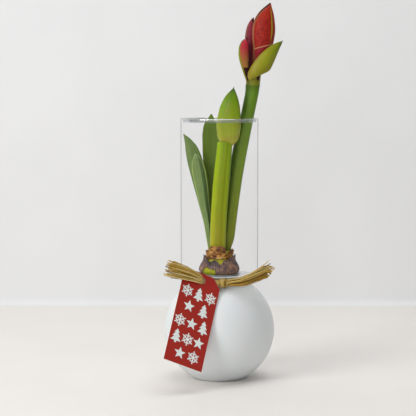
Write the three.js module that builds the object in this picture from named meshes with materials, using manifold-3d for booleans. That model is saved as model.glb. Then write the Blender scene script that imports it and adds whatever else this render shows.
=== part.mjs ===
// Amaryllis in a forcing vase: a bulb with two flower scapes and three leaves, sitting in the
// pinched neck of a blown vase (frosted globe below, clear cylinder above), with a raffia tie
// round the neck and a card tag hung on one end of the tie.
// Millimetres, +Z up, +X to the viewer's right, +Y away from the viewer.
// The origin is the centre of the flat face that the vase stands on.

import * as THREE from 'three';
import { mergeVertices } from 'three/addons/utils/BufferGeometryUtils.js';
import Module from 'manifold-3d';

// Vase
const GLOBE_RADIUS = 75;
const BASE_RADIUS = 33;
const WALL = 2.5;
const NECK_RADIUS = 24.5;
const NECK_Z = 139.2;
const CYLINDER_RADIUS = 52.5;
const SHOULDER_Z = 142.5;
const SHOULDER_CORNER = 8;
const RIM_Z = 355;
const GLOBE_Z = Math.sqrt(GLOBE_RADIUS ** 2 - BASE_RADIUS ** 2);

// Bulb and plant
const ROOT_PLATE_Z = 124;
const BULB_TOP_Z = 174;
const NECK_SCALE_RADIUS = 17.4;
const SCAPE_START_Z = BULB_TOP_Z + 0.8;
const LEAF_START_Z = BULB_TOP_Z + 2.2;
const BUD_START_Z = 406;
const TUNIC_THICKNESS = 1.1;
const TUNIC_GAP = 0.6;
const ROOTS = 8;

// Raffia tie and tag
const TIE_RADIUS = 35;
const TIE_Z = 137.5;
const TIE_THICKNESS = 5.8;
const KNOT = [5, -46, 136.2];
const TAG = { width: 57, above: 10, below: 120, clip: 12.5, thickness: 0.8, hole: 5 };
const TAG_HOLE = [-24.1, -62.2, 141.3];
const TAG_ACROSS = new THREE.Vector3(0.8518, 0.3459, -0.3934).normalize();
const TAG_UP = new THREE.Vector3(0.2056, 0.4701, 0.8583);

const WORLD_UP = new THREE.Vector3(0, 0, 1);
const RIGHT = new THREE.Vector3(1, 0, 0);

const part = new THREE.Group();
const wasm = await Module();
wasm.setup();

function finish(color, roughness) {
  return new THREE.MeshStandardMaterial({ color, roughness, metalness: 0 });
}

const GLASS = finish(0xe4e6e8, 0.3);
const TUNIC = finish(0x6e5550, 0.7);
const BULB_FLESH = finish(0xb4b53c, 0.5);
const DRY_SCALE = finish(0xa8743a, 0.8);
const ROOT = finish(0xe6dfc8, 0.6);
const LEAF = finish(0x4f7a35, 0.5);
const FRONT_SCAPE = finish(0x8fa823, 0.45);
const BACK_SCAPE = finish(0x6f8a3f, 0.5);
const SPATHE = finish(0x8a9b1c, 0.5);
const TEPAL = finish(0xb02a22, 0.5);
const RAFFIA = finish(0xc2a050, 0.8);
const CARD = finish(0x9e2a1e, 0.6);

function add(name, geometry, material) {
  const mesh = new THREE.Mesh(geometry, material);
  mesh.name = name;
  part.add(mesh);
  return mesh;
}

// A function of t that runs through the given [t, value] stops in straight stretches.
function along(...stops) {
  return (t) => {
    const next = stops.findIndex(([at]) => at >= t);
    if (next <= 0) return stops[next < 0 ? stops.length - 1 : 0][1];
    const [t0, v0] = stops[next - 1];
    const [t1, v1] = stops[next];
    return v0 + ((v1 - v0) * (t - t0)) / (t1 - t0);
  };
}

// A centre line with the half width and half depth of the ellipse around it.
function spindle(points, halfWidth, halfDepth, across = RIGHT) {
  const curve = new THREE.CatmullRomCurve3(points.map((p) => new THREE.Vector3(...p)));
  return { curve, halfWidth, halfDepth, across };
}

// Places the point that lies x across the spindle's section and z out of its face, at t.
function onSpindle({ curve, across }, t, x, z) {
  const tangent = curve.getTangentAt(t);
  const side = across.clone().addScaledVector(tangent, -across.dot(tangent)).normalize();
  const face = new THREE.Vector3().crossVectors(side, tangent);
  return curve.getPointAt(t).addScaledVector(side, x).addScaledVector(face, z);
}

function reshape(geometry, move) {
  const position = geometry.attributes.position;
  const point = new THREE.Vector3();
  for (let i = 0; i < position.count; i++) {
    point.fromBufferAttribute(position, i);
    position.setXYZ(i, ...move(point));
  }
  return geometry;
}

// A closed solid along a spindle; channel bends its section, so that its edges leave the face.
function sweep(body, sides, steps, channel = 0) {
  return reshape(new THREE.CylinderGeometry(1, 1, 1, sides, steps), (p) => {
    const t = p.y + 0.5;
    const x = p.x * body.halfWidth(t);
    return onSpindle(body, t, x, p.z * body.halfDepth(t) + channel * p.x ** 2);
  });
}

// A petal, bract or scale that lies around a spindle: middle and half are the angles, in
// degrees from the spindle's face, of its middle line and of its half width.
function wrap(body, { from, to, middle, half, gap, thickness, arcs = 12, steps = 10 }) {
  return reshape(new THREE.BoxGeometry(1, 1, 1, arcs, steps, 1), (p) => {
    const s = p.y + 0.5;
    const t = from + (to - from) * s;
    const angle = THREE.MathUtils.degToRad(middle + 2 * p.x * half(s));
    const out = gap + (p.z + 0.5) * thickness;
    const x = Math.sin(angle) * (body.halfWidth(t) + out);
    return onSpindle(body, t, x, Math.cos(angle) * (body.halfDepth(t) + out));
  });
}

// A body turned round the vertical axis, from [radius, z] pairs.
function turned(profile, segments) {
  const points = profile.map(([r, z]) => new THREE.Vector2(r, z));
  return new THREE.LatheGeometry(points, segments).rotateX(Math.PI / 2);
}

function arc(centreR, centreZ, radius, fromDeg, toDeg, steps) {
  return Array.from({ length: steps + 1 }, (_, i) => {
    const angle = THREE.MathUtils.degToRad(fromDeg + ((toDeg - fromDeg) * i) / steps);
    return [centreR + radius * Math.cos(angle), centreZ + radius * Math.sin(angle)];
  });
}

function toSolid(geometry) {
  const bare = geometry.index ? geometry.toNonIndexed() : geometry.clone();
  bare.deleteAttribute('normal');
  bare.deleteAttribute('uv');
  const merged = mergeVertices(bare, 1e-3);
  const vertProperties = new Float32Array(merged.attributes.position.array);
  const triVerts = new Uint32Array(merged.index.array);
  return new wasm.Manifold(new wasm.Mesh({ numProp: 3, vertProperties, triVerts }));
}

function toGeometry(solid) {
  const { vertProperties, triVerts } = solid.getMesh();
  const geometry = new THREE.BufferGeometry();
  geometry.setAttribute('position', new THREE.BufferAttribute(vertProperties, 3));
  geometry.setIndex(new THREE.BufferAttribute(triVerts, 1));
  return geometry;
}

// ---- Vase: one blown piece, a globe and a cylinder that meet in a pinched neck ----

function vaseProfile() {
  const inner = GLOBE_RADIUS - WALL;
  const bore = NECK_RADIUS - WALL;
  const floorZ = SHOULDER_Z + WALL;
  const degrees = (radius, r) => THREE.MathUtils.radToDeg(Math.acos(r / radius));
  const outerFoot = degrees(GLOBE_RADIUS, BASE_RADIUS);
  const outerTop = degrees(GLOBE_RADIUS, NECK_RADIUS + 2);
  const cornerR = CYLINDER_RADIUS - SHOULDER_CORNER;
  return [
    [0, 0],
    ...arc(0, GLOBE_Z, GLOBE_RADIUS, -outerFoot, outerTop, 13),
    [NECK_RADIUS, NECK_Z],
    [NECK_RADIUS + 2.5, SHOULDER_Z - 1.3],
    ...arc(cornerR, SHOULDER_Z + SHOULDER_CORNER, SHOULDER_CORNER, -90, 0, 3),
    ...arc(CYLINDER_RADIUS - WALL / 2, RIM_Z - WALL / 2, WALL / 2, 0, 180, 3),
    ...arc(cornerR, floorZ + SHOULDER_CORNER - WALL, SHOULDER_CORNER - WALL, 0, -90, 3),
    [bore + 7, floorZ - 0.6],
    [bore + 2.2, floorZ - 2.6],
    [bore, NECK_Z],
    ...arc(0, GLOBE_Z, inner, degrees(inner, bore + 2), -degrees(inner, BASE_RADIUS - 1), 11),
    [0, WALL + 0.4],
  ];
}

add('vase', turned(vaseProfile(), 40), GLASS);

// ---- Bulb, its papery tunic and the dry scales round its neck ----

const bulbRadius = along(
  [124, 13], [130, 18.4], [136, 20.4], [139, 21], [142, 23.4], [146, 27.2],
  [149, 28], [153, 27.5], [158, 24.9], [163, 22.2], [172, 21.4],
);

function bulbProfile() {
  const inset = TUNIC_THICKNESS + TUNIC_GAP;
  const heights = [124, 127, 130, 136, 139, 142, 146, 149, 153, 158];
  const shoulder = [[17.6, 161.5], [16.2, 164], [16, BULB_TOP_Z]];
  const side = heights.map((z) => [bulbRadius(z) - inset, z]);
  return [[0, ROOT_PLATE_Z], ...side, ...shoulder, [0, BULB_TOP_Z]];
}

function tunicProfile() {
  const heights = [129, 136, 139, 142, 146, 149, 153, 158, 163, 172];
  const outer = heights.map((z) => [bulbRadius(z), z]);
  const inner = heights.map((z) => [bulbRadius(z) - TUNIC_THICKNESS, z]).reverse();
  return [...outer, ...inner, outer[0]];
}

// A torn opening through the tunic on the side that faces -Y or +Y, from its [x, z] outline.
function tear(outline, facing) {
  const shape = new THREE.Shape(outline.map(([x, z]) => new THREE.Vector2(x, z)));
  const cutter = new THREE.ExtrudeGeometry(shape, { depth: 40, bevelEnabled: false });
  return toSolid(cutter.rotateX(Math.PI / 2).translate(0, facing < 0 ? 0 : 40, 0));
}

const TORN_TOP = [
  [-20, 180], [-17, 166], [-14.5, 160], [-12.5, 156.5], [-9, 160.5], [-6.5, 158], [-2.5, 161],
  [0, 155.5], [2, 159], [6, 160.5], [11, 159.5], [15, 163], [19.5, 166], [20, 180],
];
const TORN_SIDE = [
  [-23, 146], [-19.5, 150], [-14, 152.5], [-9.5, 151], [-8.5, 147.5], [-4.6, 145.5],
  [-7, 141.5], [-14, 141], [-20, 142.5],
];

add('bulb', turned(bulbProfile(), 24), BULB_FLESH);
const torn = toSolid(turned(tunicProfile(), 24))
  .subtract(tear(TORN_TOP, -1))
  .subtract(tear(TORN_TOP, 1))
  .subtract(tear(TORN_SIDE, -1));
add('bulb_tunic', toGeometry(torn), TUNIC);

const bulbNeck = spindle(
  [[0.6, 0, 164.5], [0.6, 0, 186]],
  () => NECK_SCALE_RADIUS,
  () => NECK_SCALE_RADIUS,
);
const NECK_SCALES = [
  { name: 'neck_scale_front', middle: -14, width: 46, top: 0.86 },
  { name: 'neck_scale_right', middle: 80, width: 42, top: 0.6 },
  { name: 'neck_scale_back', middle: 172, width: 44, top: 0.85 },
  { name: 'neck_scale_left', middle: 262, width: 38, top: 0.5 },
];
for (const { name, middle, width, top } of NECK_SCALES) {
  const half = along([0, width], [0.6, width * 0.96], [0.85, width * 0.7], [1, width * 0.3]);
  const scale = { from: 0, to: top, middle, half, gap: 0.3, thickness: 1.3, arcs: 8, steps: 5 };
  add(name, wrap(bulbNeck, scale), DRY_SCALE);
}

// Roots hang from the plate under the bulb, down into the globe.
function rootCluster() {
  const plate = [[0, 118], [9.5, 119], [10.8, 121.5], [10.8, 123.6], [0, 123.6]];
  let roots = toSolid(turned(plate, 16));
  for (let i = 0; i < ROOTS; i++) {
    const angle = (2 * Math.PI * i) / ROOTS;
    const reach = i % 2 ? 26 : 16;
    const tip = i % 3 ? 78 : 86;
    const at = (r, z, turn) => [r * Math.cos(angle + turn), r * Math.sin(angle + turn), z];
    const path = [at(7, 121, 0), at(10, 114, 0), at(reach * 0.75, 102, 0.15), at(reach, tip, 0.3)];
    const radius = along([0, 1.7], [0.8, 1.5], [1, 0.7]);
    roots = roots.add(toSolid(sweep(spindle(path, radius, radius), 6, 5)));
  }
  return roots;
}

add('root_cluster', toGeometry(rootCluster()), ROOT);

// ---- Leaves: thin channelled blades that rise behind the front scape ----

const leafDepth = along([0, 1.4], [0.7, 1.1], [1, 0.4]);

const leafLeftTall = spindle(
  [
    [-9.5, 7, LEAF_START_Z], [-13, 7, 200], [-18, 6.5, 229], [-24.5, 6, 261],
    [-31.5, 5, 290], [-39.7, 4, 318], [-48.6, 2.5, 333],
  ],
  along([0, 4.8], [0.18, 5.6], [0.35, 8], [0.55, 10], [0.75, 10.8], [0.86, 8.6], [0.95, 4.2], [1, 0.5]),
  leafDepth,
);
const leafLeftShort = spindle(
  [
    [-11.4, 3.2, LEAF_START_Z], [-16.3, 2.2, 214], [-20.5, 1.2, 237], [-24, 0.5, 262],
    [-28.6, -0.5, 286], [-32, -1.5, 306.5],
  ],
  along([0, 3.8], [0.3, 5.4], [0.5, 7], [0.7, 9], [0.86, 9.2], [0.95, 6.4], [1, 1.5]),
  leafDepth,
);
const leafMiddle = spindle(
  [
    [-3, 10.8, LEAF_START_Z], [-6, 11.4, 210], [-9.4, 12, 260], [-11.2, 12.7, 307],
    [-12, 12.9, 336], [-11, 12.2, 360],
  ],
  along([0, 5.2], [0.2, 7], [0.45, 10], [0.7, 11.6], [0.87, 11.3], [0.95, 8.8], [0.985, 4.5], [1, 0.8]),
  leafDepth,
);
add('leaf_left_tall', sweep(leafLeftTall, 12, 14, -1.2), LEAF);
add('leaf_left_short', sweep(leafLeftShort, 12, 12, -1.6), LEAF);
add('leaf_middle', sweep(leafMiddle, 12, 13, 1.3), LEAF);

// ---- Front scape with its closed bud ----

const frontScape = spindle(
  [[-2, -6.4, SCAPE_START_Z], [-2, -7.2, 192], [-0.9, -8.2, 222], [2.5, -9.4, 270], [6.9, -10, 317.2]],
  along([0, 10.3], [0.15, 10.8], [0.65, 11.1], [1, 10.2]),
  along([0, 7.8], [0.2, 8.6], [1, 8.4]),
);
add('front_scape', sweep(frontScape, 16, 8), FRONT_SCAPE);

const frontBud = spindle(
  [
    [10, -10, 318.2], [11.6, -10, 330], [12, -10, 346], [14.2, -10, 370],
    [16.2, -10, 383], [19.4, -10, 397.5],
  ],
  along(
    [0, 6], [0.04, 9], [0.12, 14], [0.24, 16.7], [0.36, 17.2],
    [0.52, 15.8], [0.66, 14.2], [0.8, 10.2], [0.93, 4], [1, 0.5],
  ),
  along([0, 5], [0.04, 7], [0.12, 9.6], [0.3, 11.4], [0.66, 9.8], [0.8, 7.4], [0.93, 3.4], [1, 0.5]),
);

const SEAM_ANGLE = -14;
const BRACT_SPREAD = 176;

// Half of a closed bud: everything on one side of the seam through its middle line.
function bractHalf(body, middle) {
  return reshape(new THREE.BoxGeometry(1, 1, 1, 9, 11, 1), (p) => {
    const t = p.y + 0.5;
    const angle = THREE.MathUtils.degToRad(middle + BRACT_SPREAD * p.x);
    const reach = 0.06 + 0.94 * (p.z + 0.5);
    const x = Math.sin(angle) * body.halfWidth(t) * reach;
    return onSpindle(body, t, x, Math.cos(angle) * body.halfDepth(t) * reach);
  });
}

add('front_bract_left', bractHalf(frontBud, SEAM_ANGLE - 90), SPATHE);
add('front_bract_right', bractHalf(frontBud, SEAM_ANGLE + 90), SPATHE);

// ---- Back scape with its opening flower head ----

const backScape = spindle(
  [
    [8.5, 6.2, LEAF_START_Z], [11.3, 6.8, 186], [13.8, 7.4, 202], [16.9, 8, 229],
    [24.4, 9, 284], [36.9, 10, 352], [45.2, 10, 395], [45.8, 10, 404],
  ],
  along([0, 7], [0.06, 8], [0.5, 8.8], [0.94, 9.1], [0.965, 9.9], [1, 9.6]),
  along([0, 5.4], [0.1, 7.2], [0.94, 8], [0.97, 8.8], [1, 8.4]),
);
add('back_scape', sweep(backScape, 16, 16), BACK_SCAPE);

const mainBud = spindle(
  [
    [50.5, 6, BUD_START_Z], [52.5, 5.2, 420], [56.5, 4.4, 440], [58.6, 4, 458],
    [60, 4, 480], [62.2, 4, 492], [65.2, 4, 503], [68.4, 4, 510],
  ],
  along(
    [0, 3], [0.14, 5.5], [0.34, 9.6], [0.5, 12.8], [0.64, 14.2],
    [0.74, 13], [0.84, 9.6], [0.93, 4.6], [1, 0.5],
  ),
  along(
    [0, 3], [0.14, 4.8], [0.34, 8], [0.5, 10], [0.64, 10.8],
    [0.74, 10], [0.84, 7.6], [0.93, 3.8], [1, 0.5],
  ),
);
const middleBud = spindle(
  [[44.6, 15.2, BUD_START_Z], [43, 18.5, 425], [42.6, 20.5, 450], [43.2, 20.5, 472], [46.2, 20, 491]],
  along([0, 2.6], [0.2, 4], [0.5, 6], [0.75, 6.2], [0.9, 3.8], [1, 0.5]),
  along([0, 2.4], [0.2, 3.8], [0.5, 5.4], [0.75, 5.4], [0.9, 3.4], [1, 0.5]),
);
const smallBud = spindle(
  [[40.2, 6.2, BUD_START_Z], [36.6, 4, 422], [33.6, 2.4, 440], [34.2, 2.6, 454], [37, 3.6, 464]],
  along([0, 2], [0.25, 4], [0.55, 6], [0.8, 5.4], [0.93, 3], [1, 0.5]),
  along([0, 2], [0.25, 3.8], [0.55, 5.4], [0.8, 4.8], [0.93, 2.8], [1, 0.5]),
);
add('main_bud', sweep(mainBud, 16, 14), TEPAL);
add('middle_bud', sweep(middleBud, 12, 10), TEPAL);
add('small_bud', sweep(smallBud, 12, 8), TEPAL);

// Outer tepals: broad in the middle, narrowed to the claw below and to the point above.
function tepalHalf(angle) {
  const share = along([0, 0.5], [0.15, 0.8], [0.4, 1], [0.75, 1], [0.9, 0.7], [1, 0.2]);
  return (t) => angle * share(t);
}

const TEPAL_GAP = 0.8;
const TEPAL_THICKNESS = 1.1;
const OUTER_TEPALS = [
  { name: 'main_bud_front', bud: mainBud, from: 0.12, to: 0.985, middle: 43, width: 112, arcs: 14 },
  { name: 'main_bud_back', bud: mainBud, from: 0.12, to: 0.97, middle: 223, width: 58, arcs: 8 },
  { name: 'main_bud_lower', bud: mainBud, from: 0.1, to: 0.47, middle: -8, width: 60, layer: 1, arcs: 8 },
  { name: 'middle_bud_outer', bud: middleBud, from: 0.12, to: 0.96, middle: -50, width: 80, arcs: 9 },
  { name: 'small_bud_outer', bud: smallBud, from: 0.14, to: 0.95, middle: 20, width: 60, arcs: 8 },
];
for (const { name, bud, width, layer = 0, ...place } of OUTER_TEPALS) {
  const gap = TEPAL_GAP + layer * (TEPAL_GAP + TEPAL_THICKNESS);
  const petal = { ...place, half: tepalHalf(width), gap, thickness: TEPAL_THICKNESS, steps: 9 };
  add(`${name}_tepal`, wrap(bud, petal), TEPAL);
}

// Spathe bracts: one cups the small bud from the left, the other folds over in front.
const leftBract = {
  from: 0.05, to: 0.9, middle: -108, half: tepalHalf(62), gap: 0.6, thickness: 1.3, arcs: 8, steps: 8,
};
add('spathe_bract_left', wrap(smallBud, leftBract), SPATHE);

const rightBract = spindle(
  [[46.5, -0.6, 399], [47.5, -6.5, 412], [59, -12.8, 430], [72, -13.5, 445], [85.4, -8, 459]],
  along([0, 9], [0.2, 9.8], [0.5, 10.6], [0.7, 8.6], [0.88, 4.2], [1, 0.6]),
  along([0, 1], [0.8, 0.9], [1, 0.5]),
);
add('spathe_bract_right', sweep(rightBract, 12, 12, -2.4), SPATHE);

// ---- Raffia tie: a ring in the neck's groove, a knot in front and two stiff tails ----

const tieSection = arc(TIE_RADIUS, TIE_Z, TIE_THICKNESS / 2, 0, 360, 8);
tieSection[tieSection.length - 1] = tieSection[0];
add('raffia_ring', turned(tieSection, 28), RAFFIA);

const [knotX, knotY, knotZ] = KNOT;
const knot = spindle(
  [[knotX - 7, knotY, knotZ], [knotX, knotY, knotZ], [knotX + 7, knotY, knotZ]],
  along([0, 3.6], [0.2, 5.6], [0.5, 6.6], [0.8, 5.8], [1, 4]),
  along([0, 3.4], [0.2, 5], [0.5, 5.9], [0.8, 5.2], [1, 3.6]),
  WORLD_UP,
);
add('raffia_knot', sweep(knot, 12, 6), RAFFIA);

const TAIL_OFFSET = 8;
const tailRight = spindle(
  [[knotX + TAIL_OFFSET, knotY, knotZ], [27, -48, 138], [43, -48, 142.5], [57, -47, 149], [68, -46, 155]],
  along([0, 4.6], [0.25, 6.6], [0.6, 9.5], [1, 10.5]),
  along([0, 3.6], [0.5, 4.4], [1, 5.2]),
  WORLD_UP,
);
add('raffia_tail_right', sweep(tailRight, 12, 10), RAFFIA);

// The left tail passes behind the tag, comes out through its hole and lies over its corner.
const tailLeft = spindle(
  [
    [knotX - TAIL_OFFSET, knotY, knotZ], [-16, -49.5, 136.8], [-26.5, -58.1, 139.7], TAG_HOLE,
    [-24.3, -67.3, 144.1], [-33, -76, 149], [-52, -84, 155.6], [-72, -90, 163.5],
  ],
  along([0, 3.6], [0.1, 3.2], [0.2, 2.7], [0.38, 2.7], [0.44, 4.4], [0.6, 7.6], [0.8, 10.4], [1, 13]),
  along([0, 3.4], [0.1, 3], [0.2, 2.6], [0.38, 2.6], [0.6, 3.8], [1, 5.4]),
  WORLD_UP,
);
add('raffia_tail_left', sweep(tailLeft, 12, 20), RAFFIA);

// ---- Gift tag: a card with two clipped corners, held at its hole ----

function tagOutline() {
  const { width, above, below, clip, hole } = TAG;
  const side = width / 2;
  const shape = new THREE.Shape([
    new THREE.Vector2(-side, -below),
    new THREE.Vector2(side, -below),
    new THREE.Vector2(side, above - clip),
    new THREE.Vector2(side - clip, above),
    new THREE.Vector2(clip - side, above),
    new THREE.Vector2(-side, above - clip),
  ]);
  shape.holes.push(new THREE.Path().absarc(0, 0, hole, 0, 2 * Math.PI, true));
  return shape;
}

const card = { depth: TAG.thickness, bevelEnabled: false, curveSegments: 10 };
const tagGeometry = new THREE.ExtrudeGeometry(tagOutline(), card).translate(0, 0, -TAG.thickness / 2);
const tag = add('gift_tag', tagGeometry, CARD);
const tagFront = new THREE.Vector3().crossVectors(TAG_ACROSS, TAG_UP).normalize();
const tagUp = new THREE.Vector3().crossVectors(tagFront, TAG_ACROSS);
tag.quaternion.setFromRotationMatrix(new THREE.Matrix4().makeBasis(TAG_ACROSS, tagUp, tagFront));
tag.position.set(...TAG_HOLE);

export default part;
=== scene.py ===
"""Amaryllis in a forcing vase: the looks of every piece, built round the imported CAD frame."""

import math

import bpy
import numpy as np
from mathutils import Matrix, Vector, noise


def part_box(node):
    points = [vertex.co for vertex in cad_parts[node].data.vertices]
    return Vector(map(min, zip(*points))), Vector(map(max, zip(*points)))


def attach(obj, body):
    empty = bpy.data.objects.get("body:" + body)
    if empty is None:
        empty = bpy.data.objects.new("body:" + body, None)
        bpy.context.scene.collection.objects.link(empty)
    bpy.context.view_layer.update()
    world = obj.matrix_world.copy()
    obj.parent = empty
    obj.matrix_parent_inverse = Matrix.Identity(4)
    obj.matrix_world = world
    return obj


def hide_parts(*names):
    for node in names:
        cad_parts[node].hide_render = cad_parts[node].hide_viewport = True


bl_info = {
    "name": "Amaryllis in a forcing vase",
    "version": (1, 0, 0),
    "blender": (4, 5, 0),
    "location": "3D View > Sidebar > Amaryllis",
    "description": "Builds the vase, the bulb, the plant, the raffia tie and the gift tag",
    "category": "Object",
}

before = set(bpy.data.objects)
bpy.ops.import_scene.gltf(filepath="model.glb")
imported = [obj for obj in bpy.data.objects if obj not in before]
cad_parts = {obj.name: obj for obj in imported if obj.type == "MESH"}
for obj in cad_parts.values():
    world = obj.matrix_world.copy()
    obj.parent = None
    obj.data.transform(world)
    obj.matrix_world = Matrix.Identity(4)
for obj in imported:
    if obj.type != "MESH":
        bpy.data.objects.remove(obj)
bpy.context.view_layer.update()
MM = 0.001
NEAR_AXIS = 0.0001 * MM  # keeps a turned outline's end points apart
RAFFIA_THICKNESS = 0.35 * MM
INK_THICKNESS = 0.12 * MM


# ---- Reading shapes from the frame ----


def triangles(node):
    """The corners of a CAD node's triangles, as an array of (triangle, corner, xyz)."""
    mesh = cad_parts[node].data
    mesh.calc_loop_triangles()
    co = np.empty(len(mesh.vertices) * 3)
    mesh.vertices.foreach_get("co", co)
    index = np.empty(len(mesh.loop_triangles) * 3, int)
    mesh.loop_triangles.foreach_get("vertices", index)
    return co.reshape(-1, 3)[index].reshape(-1, 3, 3)


def cut(corners, axis, level):
    """The points where triangle edges cross a plane."""
    starts, ends = corners.reshape(-1, 3), corners[:, [1, 2, 0]].reshape(-1, 3)
    a, b = starts[:, axis] - level, ends[:, axis] - level
    crossing = (a * b) < 0
    share = (a[crossing] / (a[crossing] - b[crossing]))[:, None]
    return starts[crossing] + share * (ends[crossing] - starts[crossing])


def eased(x, xs, ys):
    """A smooth curve through the points (xs, ys), read at x."""
    i = int(np.clip(np.searchsorted(xs, x) - 1, 0, len(xs) - 2))
    x0, x1 = xs[i], xs[i + 1]
    before, after = max(i - 1, 0), min(i + 2, len(xs) - 1)
    slope0 = (ys[i + 1] - ys[before]) / (xs[i + 1] - xs[before])
    slope1 = (ys[after] - ys[i]) / (xs[after] - xs[i])
    h = x1 - x0
    s = min(max((x - x0) / h, 0.0), 1.0)
    return (
        ys[i] * (1 + 2 * s) * (1 - s) ** 2
        + h * slope0 * s * (1 - s) ** 2
        + ys[i + 1] * s * s * (3 - 2 * s)
        + h * slope1 * s * s * (s - 1)
    )


class Sections:
    """Level cuts through a CAD node: the middle and half size of each, eased between them."""

    def __init__(self, node, count=10, axis=2, ends=(0.6, 0.6)):
        """ends says how many millimetres from each end the outermost cuts lie."""
        corners = triangles(node)
        self.low, self.high = corners[..., axis].min(), corners[..., axis].max()
        self.axis = axis
        self.levels = np.linspace(self.low + ends[0] * MM, self.high - ends[1] * MM, count)
        hits = [cut(corners, axis, level) for level in self.levels]
        low_rows = np.array([h.min(0) for h in hits])
        high_rows = np.array([h.max(0) for h in hits])
        self.middles = (low_rows + high_rows) / 2
        self.halves = (high_rows - low_rows) / 2

    def at(self, t):
        level = self.low + t * (self.high - self.low)
        middle = Vector(eased(level, self.levels, self.middles))
        half = Vector(eased(level, self.levels, self.halves))
        inside = min(max(level, self.levels[0]), self.levels[-1])
        if level != inside:
            a, b = (0, 1) if level < inside else (-2, -1)
            run = (self.middles[b] - self.middles[a]) / (self.levels[b] - self.levels[a])
            middle += Vector(run) * (level - inside)
        middle[self.axis] = level
        return middle, half


def flowing_at(points, t):
    """The point at share t of a smooth curve through the given points."""
    table = np.array([list(p) for p in points])
    lengths = np.concatenate([[0], np.cumsum(np.linalg.norm(np.diff(table, axis=0), axis=1))])
    return Vector(eased(t * lengths[-1], lengths, table))


def flowing(points, count):
    """Evenly spread points of a smooth curve through the given ones."""
    return [flowing_at(points, t) for t in np.linspace(0, 1, count)]


def stops(*pairs):
    """A smooth function of t through (t, value) pairs."""
    xs, ys = np.array(pairs, float).T
    return lambda t: float(eased(t, xs, ys))


def wobble(x, y, z=0.0):
    """Smooth noise between about -1 and 1, the same in every run."""
    return noise.noise(Vector((x, y, z)))


# ---- Meshes ----


def skin(name, points, uv=None, caps=True):
    """A mesh through rows of points; each row is a closed ring, and caps close the ends."""
    points = np.asarray(points, float)
    rows, cols = points.shape[:2]
    faces, coords = [], []
    for i in range(rows - 1):
        for j in range(cols):
            k = (j + 1) % cols
            faces.append([i * cols + j, i * cols + k, (i + 1) * cols + k, (i + 1) * cols + j])
            corners = ((i, j), (i, j + 1), (i + 1, j + 1), (i + 1, j))
            if uv is None:
                coords += [(c / cols, r / (rows - 1)) for r, c in corners]
            else:
                coords += [uv[r][c % cols] for r, c in corners]
    verts = points.reshape(-1, 3)
    if caps:
        verts = np.vstack([verts, points[0].mean(0), points[-1].mean(0)])
        for row, centre in ((0, rows * cols), (rows - 1, rows * cols + 1)):
            for j in range(cols):
                k = (j + 1) % cols
                pair = [row * cols + j, row * cols + k]
                faces.append([centre, *(pair if row else pair[::-1])])
                height = row / (rows - 1)
                coords += [(0.5, height)] * 3
    return new_piece(name, verts, faces, coords)


def new_piece(name, verts, faces, coords=None):
    """An object from points and faces, its faces turned outwards, smoothly shaded."""
    mesh = bpy.data.meshes.new(name)
    mesh.from_pydata(np.asarray(verts).tolist(), [], faces)
    if coords is not None:
        layer = mesh.uv_layers.new(name="UVMap")
        layer.data.foreach_set("uv", np.asarray(coords, float).ravel())
    if signed_volume(mesh) < 0:
        mesh.flip_normals()
    mesh.shade_smooth()
    piece = bpy.data.objects.new(name, mesh)
    bpy.context.collection.objects.link(piece)
    return piece


def signed_volume(mesh):
    mesh.calc_loop_triangles()
    total = 0.0
    for t in mesh.loop_triangles:
        a, b, c = (mesh.vertices[i].co for i in t.vertices)
        total += a.dot(b.cross(c))
    return total


def ring_angles(count):
    """Angles round a section, from the back, by the left and the front, to the right."""
    return [math.pi / 2 + 2 * math.pi * j / count for j in range(count)]


def tube(name, sections, rows, cols, shape=lambda angle, t: 1.0, span=(0.0, 1.0)):
    """A round piece through a node's sections; shape scales its radius, and span says how far
    along them it runs."""
    points = []
    for t in np.linspace(*span, rows):
        middle, half = sections.at(t)
        points.append([
            middle + Vector((half.x * math.cos(a), half.y * math.sin(a), 0)) * shape(a, t)
            for a in ring_angles(cols)
        ])
    return skin(name, points)


def blade(name, sections, rows, cols, thickness, channel, across=lambda s, t: 0.0):
    """A leaf through a node's sections. Its UV map runs across the blade and along it."""
    points, uv = [], []
    for t in np.linspace(0, 1, rows):
        middle, half = sections.at(t)
        ring, marks = [], []
        for a in ring_angles(cols):
            s = math.cos(a)
            depth = channel(t) * (s * s - 0.5) + thickness(t) * math.sin(a) / 2
            ring.append(middle + Vector((half.x * s, depth + across(s, t), 0)))
            marks.append(((s + 1) / 2, t))
        points.append(ring)
        uv.append(marks)
    return skin(name, points, uv)


def petal(name, sections, low, high, middle, half, gap, thickness, wave=0.0, rib=0.0,
          crown=lambda s: 1.0, rows=48, cols=40):
    """A petal or bract that lies round a node's sections, from low to high along them. middle
    and half are angles in degrees from the front; crown shortens it across its width; rib is
    the height of its midrib; UV runs across and along."""
    points, uv = [], []
    for i in range(rows):
        share = i / (rows - 1)
        spread = half(share)
        outer, inner = [], []
        for j in range(cols):
            s = 2 * j / (cols - 1) - 1
            centre, size = sections.at(low + (high - low) * share * crown(s))
            angle = math.radians(middle + spread * s)
            ripple = wave * wobble(s * 2.3, share * 5.0, middle) * abs(s) ** 2
            ripple += rib * math.exp(-((s / 0.05) ** 2)) * min(1, 4 * (1 - share))
            thin = max(1 - s ** 6, 0.12) * min(1.0, 6 * (1 - share) + 0.25)
            for ring, out in ((outer, gap + thickness * thin), (inner, gap)):
                x = math.sin(angle) * (size.x + (out + ripple) * MM)
                y = -math.cos(angle) * (size.y + (out + ripple) * MM)
                ring.append((centre + Vector((x, y, 0)), ((s + 1) / 2, share)))
        ring = outer + inner[::-1]
        points.append([p for p, _ in ring])
        uv.append([mark for _, mark in ring])
    return skin(name, points, uv)


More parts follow.
